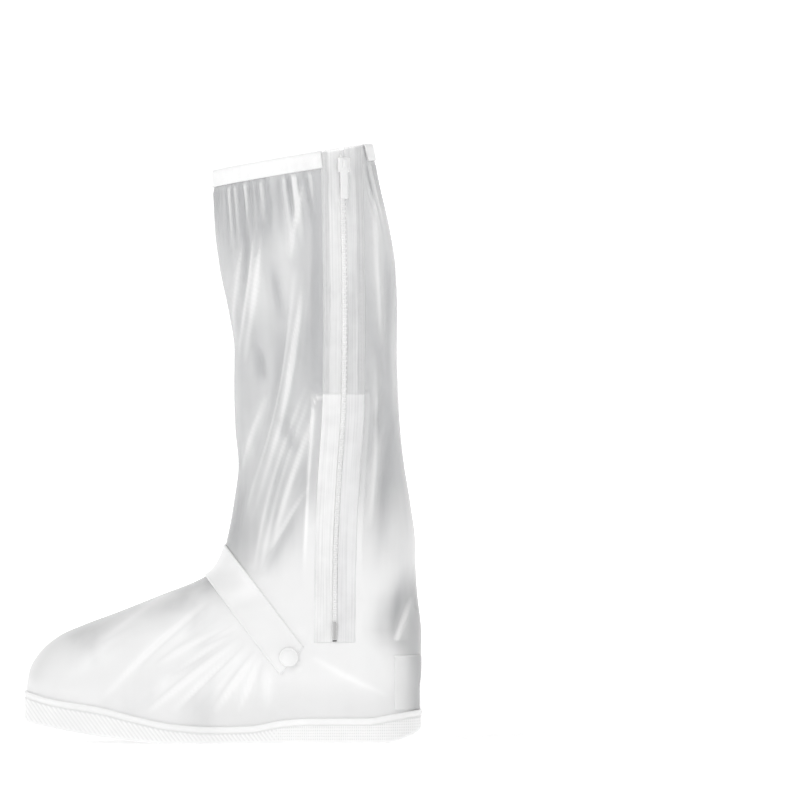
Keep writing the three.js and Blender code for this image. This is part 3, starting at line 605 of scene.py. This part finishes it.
def filmShell():
    size = {"nearColumns": 184, "farColumns": 122, "rows": 158, "thickness": 0.55, "slit": 10.5}
    near, far, rows = size["nearColumns"], size["farColumns"], size["rows"]
    cols = near + far
    share = np.linspace(0, 1, rows)
    levels = floorHeight + (rimHeight - floorHeight) * (0.62 * share + 0.38 * share ** 2.2)
    turns = np.concatenate([np.pi * np.arange(near) / near, np.pi + np.pi * np.arange(far) / far])
    turn = np.broadcast_to(turns[None, :], (rows, cols)).copy()
    level = np.broadcast_to(levels[:, None], (rows, cols))
    x, z = rowPoint(turn, lambda at: level + rowShift(level, at))
    side = np.where(turn <= np.pi, -1.0, 1.0)
    beside = x - zipCurve(z)
    slit = (side < 0) & (z > 78)
    atEdge = slit & (np.abs(np.abs(beside) - size["slit"]) < 0.8)
    x = np.where(atEdge, zipCurve(z) + np.sign(beside) * size["slit"], x)
    y = side * np.sqrt(np.maximum(filmSquared(x, z), 0))
    normal = filmNormal(x, y, z)
    main, pleats, foldShading = foldHeight(x, z, side, turn)
    room, ends = foldRoom(x, z, side)
    height = room * (1.35 * main * ends + pleats)
    flatZ = z.copy()
    p = np.stack([x, y, z], -1) + normal * height[..., None]
    p[0, :, 2], p[-1, :, 2] = flatZ[0], flatZ[-1]
    faces = gridFaces(rows, cols, wrap=True)
    inSlit = slit & (np.abs(x - zipCurve(z)) < size["slit"] - 0.05)
    faces = faces[~inSlit.ravel()[faces].any(axis=1)]
    obj = makeObject("film", p.reshape(-1, 3), faces)
    setNumber(obj, "milkAndShade", filmMilkAndShade(x, y, z).ravel())
    # painted shade along the film's front and back ridges, where it is seen edge-on
    ridgeShade = -0.28 * np.exp(-(y / 10) ** 2) * smooth((z - wallCurve(x)) / 5)
    setNumber(obj, "line", (foldShading * room * ends + besideZip(x, z, side) + ridgeShade).ravel())
    setUV(obj, np.stack([turn / (2 * np.pi), z / topHeight], -1).reshape(-1, 2))
    thick = obj.modifiers.new("thickness", "SOLIDIFY")
    thick.thickness = size["thickness"] * milli
    thick.offset = -1
    applyAll(obj)
    return obj


def filmMilkAndShade(x, y, z):
    # milky over the foot, clearing up the leg and at the back of the heel; painted shade along the vamp's
    # crest and just above the sole, and painted light over the inner sheet
    foot = 1 - smooth((z - 106 + 12 * np.sin(x / 17 + 1) - 0.3 * (x - 40)) / 95)
    ridge = 1 - smooth((np.abs(y) - 20 - 5 * np.sin(x / 9)) / 22)
    # painted shade along the vamp's crest, where the film is seen edge-on
    crest = ridge * smooth((-x + 10) / 20) * smooth((z - 40) / 12)
    edge = np.interp(z, (40, 62, 75, 85, 109, 135, 160), (131, 126, 113, 108, 114, 131, 140))
    side = np.sign(y)
    heel = smooth((x - edge + 8) / 34) * (1 - smooth((z - 95) / 50)) * (1 - 0.5 * smooth((y + 25) / 50))
    overSheet = smooth((22.5 - np.abs(x - zipCurve(z) + 2.2)) / 1.5)
    # painted light: whiter film over the inner sheet, standing in for the lit sheet behind
    glowOverSheet = (side < 0) * (z < innerSheetTop - 1) * (z > 80) * overSheet
    # painted shade just above the sole
    low = (1 - smooth((z - wallCurve(x) - 6) / 26)) * smooth((x + 60) / 60)
    return np.clip(foot * (1 - 0.22 * low) - 0.3 * crest - 0.9 * heel * foot + 0.3 * glowOverSheet, 0, 1)


def besideZip(x, z, side):
    # painted shade beside the tape's front edge above the inner sheet, that sheet's outline below, and darker
    # towards the top of the shaft's front
    across = x - zipCurve(z)
    above = smooth((z - innerSheetTop + 1) / 8) * (1 - smooth((z - 400) / 30))
    shade = -0.4 * np.exp(-((across + 19) / 4) ** 2) * above
    corner = 261 - 7 * (1 - smooth((across + 23.5) / 7)) ** 2
    edge = np.exp(-((across + 22.6) / 1.1) ** 2) * smooth((254 - z) / 3) * smooth((z - 120) / 60)
    top = np.exp(-((z - corner) / 1.5) ** 2) * smooth((across + 23.5) / 1.5) * smooth((-across - 12) / 2)
    front = -0.3 * smooth((z - 325) / 50) * smooth((55 - x) / 30)
    return np.where(side < 0, shade + front + 0.7 * np.maximum(edge, top), 0)


film = finishPiece(filmShell(), "film_foot", filmLook)
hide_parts("film_leg")
print("film made")


# sole
def capped(name, rings):
    # A closed body through rings of points, with a flat face at each end.
    n, k = rings.shape[:2]
    faces = [list(f) for f in gridFaces(n, k, wrap=True)]
    faces += [list(range(k - 1, -1, -1)), list(range((n - 1) * k, n * k))]
    obj = makeObject(name, rings.reshape(-1, 3), faces)
    outward(obj)
    return obj


def soleShape():
    size = {
        "columns": 640, "across": 18, "edge": 2.4, "lip": 3.4, "lipDepth": 0.7,
        "pitch": 15, "groove": 3, "depth": 1.4,
    }
    cols, deep = size["columns"], size["lipDepth"]
    turn = 2 * np.pi * np.arange(cols) / cols

    def loop(inset, heightAt):
        cut = soleCut(inset)
        x = cut[1] + (cut[0] - cut[1]) * (1 - np.cos(turn)) / 2
        y = np.where(turn <= np.pi, -1, 1) * np.sqrt(np.maximum(squared(x, *cut), 0))
        return np.stack([x, y, heightAt(x)], -1)

    def wall(drop):
        return lambda x: np.maximum(wallCurve(x) - drop, lift(x) + size["edge"] + 1.2 - 0.1 * drop)

    loops = []
    for degrees in (0, 22, 45, 68, 90):
        a = math.radians(degrees)
        rise = size["edge"] * (1 - math.cos(a))
        loops.append(loop(deep + size["edge"] * (1 - math.sin(a)), lambda x: lift(x) + rise))
    lip = size["lip"]
    wallProfile = [
        # inset, drop below the wall's top edge
        (deep, lip + 3.2), (deep, lip + 2.4), (deep - 0.25, lip + 2.0), (deep - 0.25, lip + 1.6),
        (deep + 0.1, lip + 1.2), (deep + 0.1, lip + 0.4), (0.12, lip - 0.4), (0, lip - 0.9),
        (0, 0.9), (0.15, 0.35), (0.5, 0), (1.7, 0), (2.2, 0.4),
    ]
    for inset, drop in wallProfile:
        loops.append(loop(inset, wall(drop)))
    loops.append(loop(cover["soleWall"], lambda x: lift(x) + cover["soleThickness"]))
    verts = np.concatenate(loops)
    faces = [gridFaces(len(loops), cols, wrap=True)]
    half = cols // 2

    # the underside and the floor inside, straight across
    def across(ring, heightAt):
        nonlocal verts
        count = size["across"]
        start = len(verts)
        near = loops[ring][1:half]
        far = loops[ring][:half:-1]
        share = np.linspace(0, 1, count + 1)[1:-1]
        inner = near[:, None] * (1 - share[None, :, None]) + far[:, None] * share[None, :, None]
        inner[..., 2] = heightAt(inner[..., 0], inner[..., 1])
        verts = np.concatenate([verts, inner.reshape(-1, 3)])
        table = np.empty((half - 1, count + 1), int)
        table[:, 0] = ring * cols + np.arange(1, half)
        table[:, -1] = ring * cols + np.arange(cols - 1, half, -1)
        table[:, 1:-1] = start + np.arange((half - 1) * (count - 1)).reshape(half - 1, count - 1)
        low, high = table[:-1], table[1:]
        faces.append(np.stack([low[:, :-1], high[:, :-1], high[:, 1:], low[:, 1:]], -1).reshape(-1, 4))
        ends = []
        for row, tip in ((table[0], ring * cols), (table[-1], ring * cols + half)):
            ends += [[tip, int(row[i]), int(row[i + 1])] for i in range(count)]
        return ends

    def tread(x, y):
        phase = np.mod(x - size["pitch"] / 2 + 100 + 2.5 * np.abs(np.mod(y / 14, 2) - 1), size["pitch"])
        cut = smooth((size["groove"] / 2 - np.abs(phase - size["pitch"] / 2)) / 0.7 + 0.5)
        edge = smooth((cover["ballWidth"] / 2 - 4 - np.abs(y)) / 2)
        return lift(x) + size["depth"] * cut * edge * (np.abs(x + 10) < 128)

    ends = across(0, tread)
    ends += across(len(loops) - 1, lambda x, y: lift(x) + cover["soleThickness"])
    every = [list(map(int, f)) for f in np.concatenate(faces)] + ends
    obj = makeObject("sole_shape", verts, every)
    ribbed, grooveShade = np.zeros(len(verts)), np.zeros(len(verts))
    # the groove below the lip is marked for painted shade
    ribbed[4 * cols:7 * cols], grooveShade[6 * cols:9 * cols] = 1, 1
    setNumber(obj, "ribbed", ribbed)
    setNumber(obj, "grooveShade", grooveShade)
    outward(obj)
    return obj


def soleMaterial():
    m = Material("sole_moulded")
    where = m.place()
    x, _, z = m.axes(where)
    acrossWall = x * 1000.0
    upWall = z * 1000.0
    slant = ((acrossWall * 0.8 + upWall * 0.6) * (2 * math.pi / 2.6)).op("SINE")
    cross = ((acrossWall * 0.8 - upWall * 0.6) * (2 * math.pi / 2.6)).op("SINE")
    dots = slant * cross
    back = x.between(0.03, 0.05)
    soft = m.noise(where, 25.0, 3.0)
    ribFade = soft.between(0.3, 0.6)
    # the ribs and dots are painted into the colour as the moulded relief's light and shade, besides the bump,
    # and fade in patches
    pattern = (slant * (1.0 - back) + dots * back * 1.4) * m.attribute("ribbed") * (ribFade * 0.6 + 0.4)
    fine = m.noise(where, 800.0, 2.0)
    # painted shade in the groove below the sole's lip
    shade = soft * 0.8 + pattern * 0.35 - m.attribute("grooveShade") * 0.5 + 0.27
    m.set({
        "Base Color": m.mixed(shade.between(0.0, 0.9), (0.78, 0.78, 0.78), (0.96, 0.96, 0.96)),
        "Roughness": soft * 0.14 + 0.36,
        "Specular IOR Level": 0.45,
    })
    m.bump(pattern * 0.8 + fine * 0.2, 0.00015, 0.6)
    return m.made


sole = finishPiece(soleShape(), "sole", soleMaterial())
print("sole made")


# zip
def stripPoints(low, high, left, right, offset, rows, across, wave=0.0):
    # Points of a strip along the zip's line: left and right are measured from it.
    z = np.linspace(low, high, rows)[:, None]
    s = np.linspace(left, right, across)[None, :]
    z, s = np.broadcast_arrays(z, s)
    x = zipCurve(z) + s
    if high >= zipTop():
        z = low + (rimAt(x) + cover["clearance"] + 1 - low) * np.linspace(0, 1, rows)[:, None]
        x = zipCurve(z) + s
    level = np.minimum(z, topHeight)
    ripple = wave * (np.sin(z / 7.3 + 0.8 * np.sin(z / 19)) + 0.6 * np.sin(z / 3.9 + 1.1))
    p = onFilm(x, level, -1.0, offset + ripple)
    p[..., 2] += z - level
    return p, np.stack([s * milli, z * milli], -1)


def zipTape(name, left, right, node, look):
    size = {"low": 76, "thickness": 0.7, "rows": 420, "across": 22}
    outer, uv = stripPoints(size["low"], zipTop(), left, right, 0.9, size["rows"], size["across"], 0.09)
    s = np.linspace(0, 1, size["across"])
    outside = s if right > 8 else 1 - s
    stitch = np.exp(-((outside - 0.8) * 13 / 0.55) ** 2)[None, :] * (np.mod(uv[..., 1] / milli, 3.4) < 2.3)
    welt = 0.35 * np.exp(-((outside - 0.9) * 13 / 0.7) ** 2)[None, :]
    ends = 0.35 * (np.minimum(s, 1 - s) < 0.02)[None, :]
    centre = onFilm(zipCurve(uv[..., 1] / milli), np.minimum(uv[..., 1] / milli, topHeight), -1.0)
    normal = filmNormal(*np.moveaxis(centre, -1, 0))
    outer = outer + normal * (0.28 * stitch + welt - ends)[..., None]
    inner, _ = stripPoints(size["low"], zipTop(), left, right, 0.25, size["rows"], size["across"], 0.0)
    obj = slab(name, outer, inner)
    setUV(obj, np.concatenate([uv.reshape(-1, 2)] * 2))
    # painted light: the tape turns denser below the inner sheet's top, standing in for the lit sheet behind
    setNumber(obj, "glowFromSheet", np.tile(smooth((innerSheetTop - uv[..., 1] / milli) / 1.5).ravel(), 2))
    return finishPiece(obj, node, look)


def zipChain():
    size = {"low": 78, "pitch": 1.75, "tooth": 2.7, "high": 1.15, "rise": 0.6, "core": 3.0}
    base, _ = stripPoints(size["low"], zipTop() - 6, -size["core"] / 2, size["core"] / 2, 1.25, 300, 4)
    under, _ = stripPoints(size["low"], zipTop() - 6, -size["core"] / 2, size["core"] / 2, 0.05, 300, 4)
    core = slab("zip_core", base, under)
    corners = [(-1, -1), (1, -1), (1, 1), (-1, 1)]
    verts, faces = [], []
    count = int((zipTop() - 8 - size["low"]) / size["pitch"])
    for i in range(count):
        z = size["low"] + 1 + i * size["pitch"]
        shift = 0.3 if i % 2 else -0.3
        start = len(verts)
        for offset, share in ((1.3, 1.0), (1.3 + 0.6 * size["rise"], 0.95), (1.3 + size["rise"], 0.62)):
            for a, b in corners:
                x = zipCurve(z) + shift + a * share * size["tooth"] / 2
                level = z + b * share * size["high"] / 2
                verts.append(onFilm(x, level, -1.0, offset))
        faces += [[start + 3, start + 2, start + 1, start], [start + 8, start + 9, start + 10, start + 11]]
        for ring in (start, start + 4):
            for k in range(4):
                after = (k + 1) % 4
                faces.append([ring + k, ring + after, ring + 4 + after, ring + 4 + k])
    teeth = makeObject("zip_teeth", np.array(verts), faces, smoothFaces=False)
    outward(teeth)
    onlySelect(core)
    teeth.select_set(True)
    bpy.ops.object.join()
    core.name = "zip_teeth_row"
    return finishPiece(core, "zip_chain", toothLook)


def zipBlock(name, low, high, width, base, top, bevel):
    outer, _ = stripPoints(low, high, -width / 2, width / 2, top, 8, 5)
    inner, _ = stripPoints(low, high, -width / 2, width / 2, base, 8, 5)
    obj = slab(name, outer, inner)
    soft = obj.modifiers.new("edge", "BEVEL")
    soft.width = bevel * milli
    soft.segments = 3
    soft.limit_method = "ANGLE"
    soft.angle_limit = math.radians(40)
    applyAll(obj)
    return obj


def joined(name, pieces):
    onlySelect(pieces[0])
    for p in pieces[1:]:
        p.select_set(True)
    bpy.ops.object.join()
    pieces[0].name = name
    return pieces[0]


zipTape("zip_tape_toe_side", -15.6, -1.5, "zip_tape_front", tapeLook)
# the heel-side tape takes the darker copy, as painted shade
zipTape("zip_tape_heel_side", 1.5, 15.6, "zip_tape_back", shadedTapeLook)
zipChain()
finishPiece(zipBlock("zip_end_stop", 78.5, 91.5, 2.2, 2.35, 3.1, 0.35), "zip_stop", stopLook)
slideTop = zipTop() - 8
slider = joined("zip_slide_and_pull", [
    zipBlock("slide_body", slideTop - 11, slideTop, 8, 2.3, 4.3, 0.7),
    zipBlock("slide_bridge", slideTop - 8.5, slideTop - 1.5, 2.6, 4.35, 5.6, 0.5),
    zipBlock("slide_pull", slideTop - 31, slideTop - 9.5, 5.2, 3.0, 4.2, 0.5),
    zipBlock("slide_grip", slideTop - 29, slideTop - 21, 3.4, 4.25, 4.7, 0.2),
])
finishPiece(slider, "zip_slider", toothLook)


# film pieces: the sheet behind the zip and the heel patch
def gussetSheet():
    size = {"low": 70, "high": innerSheetTop, "left": -23.5, "right": 19.0, "offset": -1.6, "thickness": 0.5}
    rows, across = 130, 34
    s = np.linspace(0, 1, across)[None, :]
    t = np.linspace(0, 1, rows)[:, None]
    corner = 7 * (1 - smooth(s / 0.22)) ** 2 - 2.5 * smooth((s - 0.85) / 0.15)
    z = size["low"] + (size["high"] - corner - size["low"]) * t
    s = np.broadcast_to(s, z.shape)
    x = zipCurve(z) + size["left"] + (size["right"] - size["left"]) * s
    wave = -0.5 - 0.5 * np.sin(z / 21 + 5 * s) - 1.4 * smooth((z - 225) / 40) * np.sin(np.pi * s) ** 2
    outer = onFilm(x, z, -1.0, size["offset"] + wave)
    inner = onFilm(x, z, -1.0, size["offset"] + wave - size["thickness"])
    obj = slab("inner_sheet", outer, inner)
    edge = np.maximum(smooth((t - 0.975) / 0.02), 0.6 * smooth((np.abs(s - 0.5) - 0.46) / 0.03))
    setNumber(obj, "milkAndShade", np.tile((0.1 + 0.9 * np.broadcast_to(edge, z.shape)).ravel(), 2))
    return finishPiece(obj, "zip_gusset", innerFilmLook)


def heelPatch():
    size = {"top": 66, "reach": 21, "thickness": 0.8}
    rows, across = 26, 120
    low = cover["wallHeight"] * 1.01 + 0.7
    swing = np.linspace(-1, 1, across)[None, :]
    z = np.broadcast_to(np.linspace(low, size["top"], rows)[:, None], (rows, across))
    back = cutBack(z)
    x = back - (back - (halfLong - size["reach"])) * swing ** 2
    side = np.broadcast_to(np.where(swing < 0, -1.0, 1.0), z.shape)
    rim = np.minimum((1 - np.abs(swing)) / 0.02, (size["top"] - z) / 1.0)
    out = 0.3 + size["thickness"] - 0.15 * (1 - np.clip(rim, 0, 1)) + 0.12 * np.sin(x / 3.1) * np.sin(z / 5)
    obj = slab("heel_layer", onFilm(x, z, side, out), onFilm(x, z, side, 0.28))
    ahead = 1 - smooth((x - halfLong + size["reach"]) / 17)
    topLine = 1 - smooth((size["top"] - z - 0.4) / 1.4)
    setNumber(obj, "milkAndShade", np.tile((0.75 * ahead + 0.1).ravel(), 2))
    # line: a painted highlight along the patch's top edge, and darker towards the back of the heel
    setNumber(obj, "line", np.tile((0.9 * topLine - 0.2 * (1 - ahead)).ravel(), 2))
    return finishPiece(obj, "heel_patch", patchLook)


gussetSheet()
heelPatch()


# elastic band
def elasticBand():
    size = {"stations": 620, "outer": 1.5, "inner": 1.0, "reach": 16.6, "ripple": 0.35, "count": 46}
    zx = float(zipCurve(topHeight - 6))
    front, back = float(cutFront(topHeight)), float(cutBack(topHeight))

    def turnAt(x):
        return math.acos(1 - 2 * (back - x) / (back - front))

    start, stop = turnAt(zx - size["reach"]), 2 * math.pi + turnAt(zx + size["reach"])
    turn = np.linspace(start, stop, size["stations"])
    t = np.mod(turn, 2 * math.pi)
    side = np.where(t <= np.pi, -1.0, 1.0)
    inside = -0.55 - 0.3
    c = cover["clearance"]
    low = c + 1 - cover["bandHeight"]
    profile = [(c, low + 0.3), (c + 0.9, low), (c + size["outer"], low + 0.7)]
    profile += [(c + size["outer"], low + 0.7 + k * (cover["bandHeight"] - 2) / 8) for k in range(1, 8)]
    lining = inside - size["inner"]
    profile += [
        (c + size["outer"] - 0.3, c + 0.7), (c + 0.6, c + 1), (inside - 0.4, c + 1), (lining, c + 0.6),
        (lining, low + 0.5), (inside - 0.5, low), (inside, low + 0.3), (inside, c - 0.1), (c, c - 0.1),
    ]
    rng = np.random.default_rng(7)
    ripple = sum(np.sin(size["count"] * (0.6 + 0.2 * k) * turn + rng.uniform(0, 6)) for k in range(4)) / 2.5
    rings = []
    for offset, rise in profile:
        x, z = rowPoint(t, lambda at: rimAt(at) + rise)
        y = side * np.sqrt(np.maximum(filmSquared(x, z), 0))
        n = filmNormal(x, y, z)
        n[:, 2] = 0
        n /= np.linalg.norm(n, axis=1, keepdims=True)
        calmer = 1 - 0.5 * (rise - low) / cover["bandHeight"]
        push = offset + size["ripple"] * ripple * (offset > 0.5) * calmer
        rings.append(np.stack([x, y, z], -1) + n * push[:, None])
    rings = np.stack(rings, 1)
    obj = capped("elastic_hem", rings)
    k = len(profile)
    around = turn[:, None] * 0.058 + np.zeros((1, k))
    along = np.cumsum([0] + [math.dist(profile[i], profile[i - 1]) for i in range(1, k)]) * milli
    setUV(obj, np.stack([around, np.broadcast_to(along, around.shape)], -1).reshape(-1, 2))
    return finishPiece(obj, "top_band", bandLook)


elasticBand()
print("zip, patches and band made")


# strap and snaps
def crestAlong(off):
    # Distance along the strap's line where it meets the film's ridge.
    low, high = -40.0, 40.0
    for _ in range(40):
        middle = (low + high) / 2
        x = strapSize["crestX"] + middle * strapDX + off * strapDZ
        z = strapSize["crestZ"] + middle * strapDZ - off * strapDX
        if filmSquared(x, z) < 0:
            low = middle
        else:
            high = middle
    return high


def strapBand():
    size = {"half": 150, "across": 36, "stitchAt": 11.4, "pitch": 2.8, "dip": 0.22}
    off = strapSize["width"] * (np.linspace(0, 1, size["across"]) - 0.5)
    crest = np.array([crestAlong(o) for o in off])[None, :]
    i = np.linspace(-1, 1, 2 * size["half"] + 1)[:, None]
    end = strapLength - strapSize["endCut"] * (0.5 - off / strapSize["width"])[None, :]
    along = crest + (end - crest) * i ** 2
    o = np.broadcast_to(off[None, :], along.shape)
    x = strapSize["crestX"] + along * strapDX + o * strapDZ
    z = strapSize["crestZ"] + along * strapDZ - o * strapDX
    side = np.broadcast_to(np.where(i < 0, 1.0, -1.0), along.shape)
    slack = strapSize["slack"] * (1 - i ** 4)
    rim = np.minimum(strapSize["width"] / 2 - np.abs(o), end - along)
    stitch = np.exp(-((np.abs(o) - size["stitchAt"]) / 0.4) ** 2) * (np.mod(along, size["pitch"]) < 1.7)
    out = strapSize["thickness"] + 0.3 - 0.5 * np.clip(1 - rim / 0.7, 0, 1) ** 2
    out = out + 0.25 * np.exp(-((rim - 1.1) / 0.7) ** 2) - size["dip"] * stitch
    out = out + 0.1 * np.sin(along / 9) * np.cos(o / 8)
    outer = onFilm(x, z, side, out + slack)
    inner = onFilm(x, z, side, 0.3 + slack)
    return finishPiece(slab("instep_strap", outer, inner), "strap", strapLook)


def turned(name, profile):
    # a round body: a disc pushed up and resized step by step along its profile
    radius, height = profile[0]
    bpy.ops.object.select_all(action="DESELECT")
    bpy.ops.mesh.primitive_circle_add(
        vertices=72, radius=radius * milli, fill_type="NGON", location=(0, 0, height * milli))
    obj = bpy.context.object
    obj.name = name
    bpy.ops.object.transform_apply(location=True, rotation=False, scale=False)
    bpy.ops.object.mode_set(mode="EDIT")
    bpy.ops.mesh.select_all(action="SELECT")
    for nextRadius, nextHeight in profile[1:]:
        rise = (nextHeight - height) * milli
        bpy.ops.mesh.extrude_region_move(TRANSFORM_OT_translate={"value": (0, 0, rise)})
        grow = nextRadius / radius
        bpy.ops.transform.resize(value=(grow, grow, 1), center_override=(0, 0, nextHeight * milli))
        radius, height = nextRadius, nextHeight
    bpy.ops.object.mode_set(mode="OBJECT")
    outward(obj)
    bpy.ops.object.shade_smooth_by_angle(angle=math.radians(50))
    return obj


def snapPart(name, profile, side, node):
    along = strapLength - strapSize["snapInset"]
    x = strapSize["crestX"] + along * strapDX
    z = strapSize["crestZ"] + along * strapDZ
    point = onFilm(x, z, side)
    normal = Vector(filmNormal(*point))
    obj = turned(name, profile)
    turn = Vector((0, 0, 1)).rotation_difference(normal).to_matrix().to_4x4()
    obj.data.transform(Matrix.Translation(Vector(point) * milli) @ turn)
    return finishPiece(obj, node, snapLook)


strapBand()
seat = 0.3 + strapSize["thickness"] + 0.75
capProfile = [
    # radius, height above the film
    (2.0, 0.4), (2.0, seat - 0.35), (6.6, seat - 0.35), (7.1, seat + 0.1), (7.2, seat + 0.6),
    (7.0, seat + 0.95), (6.5, seat + 1.1), (6.2, seat + 1.0), (5.9, seat + 1.05), (5.0, seat + 1.5),
    (3.8, seat + 1.8), (2.2, seat + 1.95), (0.6, seat + 2.0), (0.05, seat + 2.0),
]
baseProfile = [
    (0.05, -3.05), (5.6, -3.05), (6.0, -2.75), (6.0, -2.2), (5.7, -1.95),
    (2.0, -1.95), (2.0, 0.1), (0.05, 0.1),
]
for word, side in (("outer", -1.0), ("inner", 1.0)):
    snapPart("snap_button_" + word, capProfile, side, "snap_cap_" + word)
    snapPart("snap_back_" + word, baseProfile, side, "snap_base_" + word)
print("strap and snaps made")


# camera, light and floor
def studio():
    view = {"x": 0.1334, "y": -8.0, "z": 0.2578, "lens": 477.3}
    bpy.ops.object.camera_add(location=(view["x"], view["y"], view["z"]), rotation=(math.pi / 2, 0, 0))
    camera = bpy.context.object
    camera.data.lens = view["lens"]
    bpy.context.scene.camera = camera
    sheet = {"width": 40.0, "front": -20.0, "back": 8.0, "bend": 2.0, "height": 9.0}
    line = [(sheet["front"], 0.0), (sheet["back"], 0.0)]
    for i in range(1, 13):
        a = math.pi / 2 * i / 12
        line.append((sheet["back"] + sheet["bend"] * math.sin(a), sheet["bend"] * (1 - math.cos(a))))
    line.append((sheet["back"] + sheet["bend"], sheet["height"]))
    verts = [(s * sheet["width"] / 2, y, z) for y, z in line for s in (-1, 1)]
    faces = [(2 * i, 2 * i + 1, 2 * i + 3, 2 * i + 2) for i in range(len(line) - 1)]
    floor = makeObject("backdrop", np.array(verts) / milli, faces)
    paper = Material("backdrop_paper")
    where = paper.place()
    away = paper.number(paper.node("VectorMath", {"operation": "LENGTH"}, Vector=where).outputs["Value"])
    # the paper glows as painted light, dimmer within 0.6 m of the middle, so the floor is darker round the
    # object
    paper.set({
        "Base Color": paper.mixed(paper.noise(where, 3.0) * 0.5, (0.9, 0.9, 0.9), (0.93, 0.93, 0.93)),
        "Roughness": 0.9,
        "Emission Color": paper.mixed(away.between(0.6, 3.0), (0.55, 0.55, 0.55), (1.0, 1.0, 1.0)),
        "Emission Strength": 0.64,
    })
    floor.data.materials.append(paper.made)
    lights = [
        # name, size, power, place, aimed at
        ("key", 1.3, 28.0, (-1.5, -2.0, 2.2), (0.0, 0.0, 0.2)),
        ("fill", 2.2, 11.0, (2.2, -2.0, 1.2), (0.05, 0.0, 0.2)),
        ("top", 1.6, 3.0, (0.0, -0.1, 2.4), (0.0, 0.0, 0.2)),
    ]
    for name, size, power, place, target in lights:
        bpy.ops.object.light_add(type="AREA", location=place)
        lamp = bpy.context.object
        lamp.name = name
        lamp.data.size = size
        lamp.data.energy = power
        lamp.rotation_euler = (Vector(target) - Vector(place)).to_track_quat("-Z", "Y").to_euler()
    world = bpy.data.worlds.new("studio")
    bpy.context.scene.world = world
    world.use_nodes = True
    world.node_tree.nodes["Background"].inputs[0].default_value = (1, 1, 1, 1)
    world.node_tree.nodes["Background"].inputs[1].default_value = 0.48
    bpy.context.scene.view_settings.view_transform = "Standard"


studio()
print("scene made")
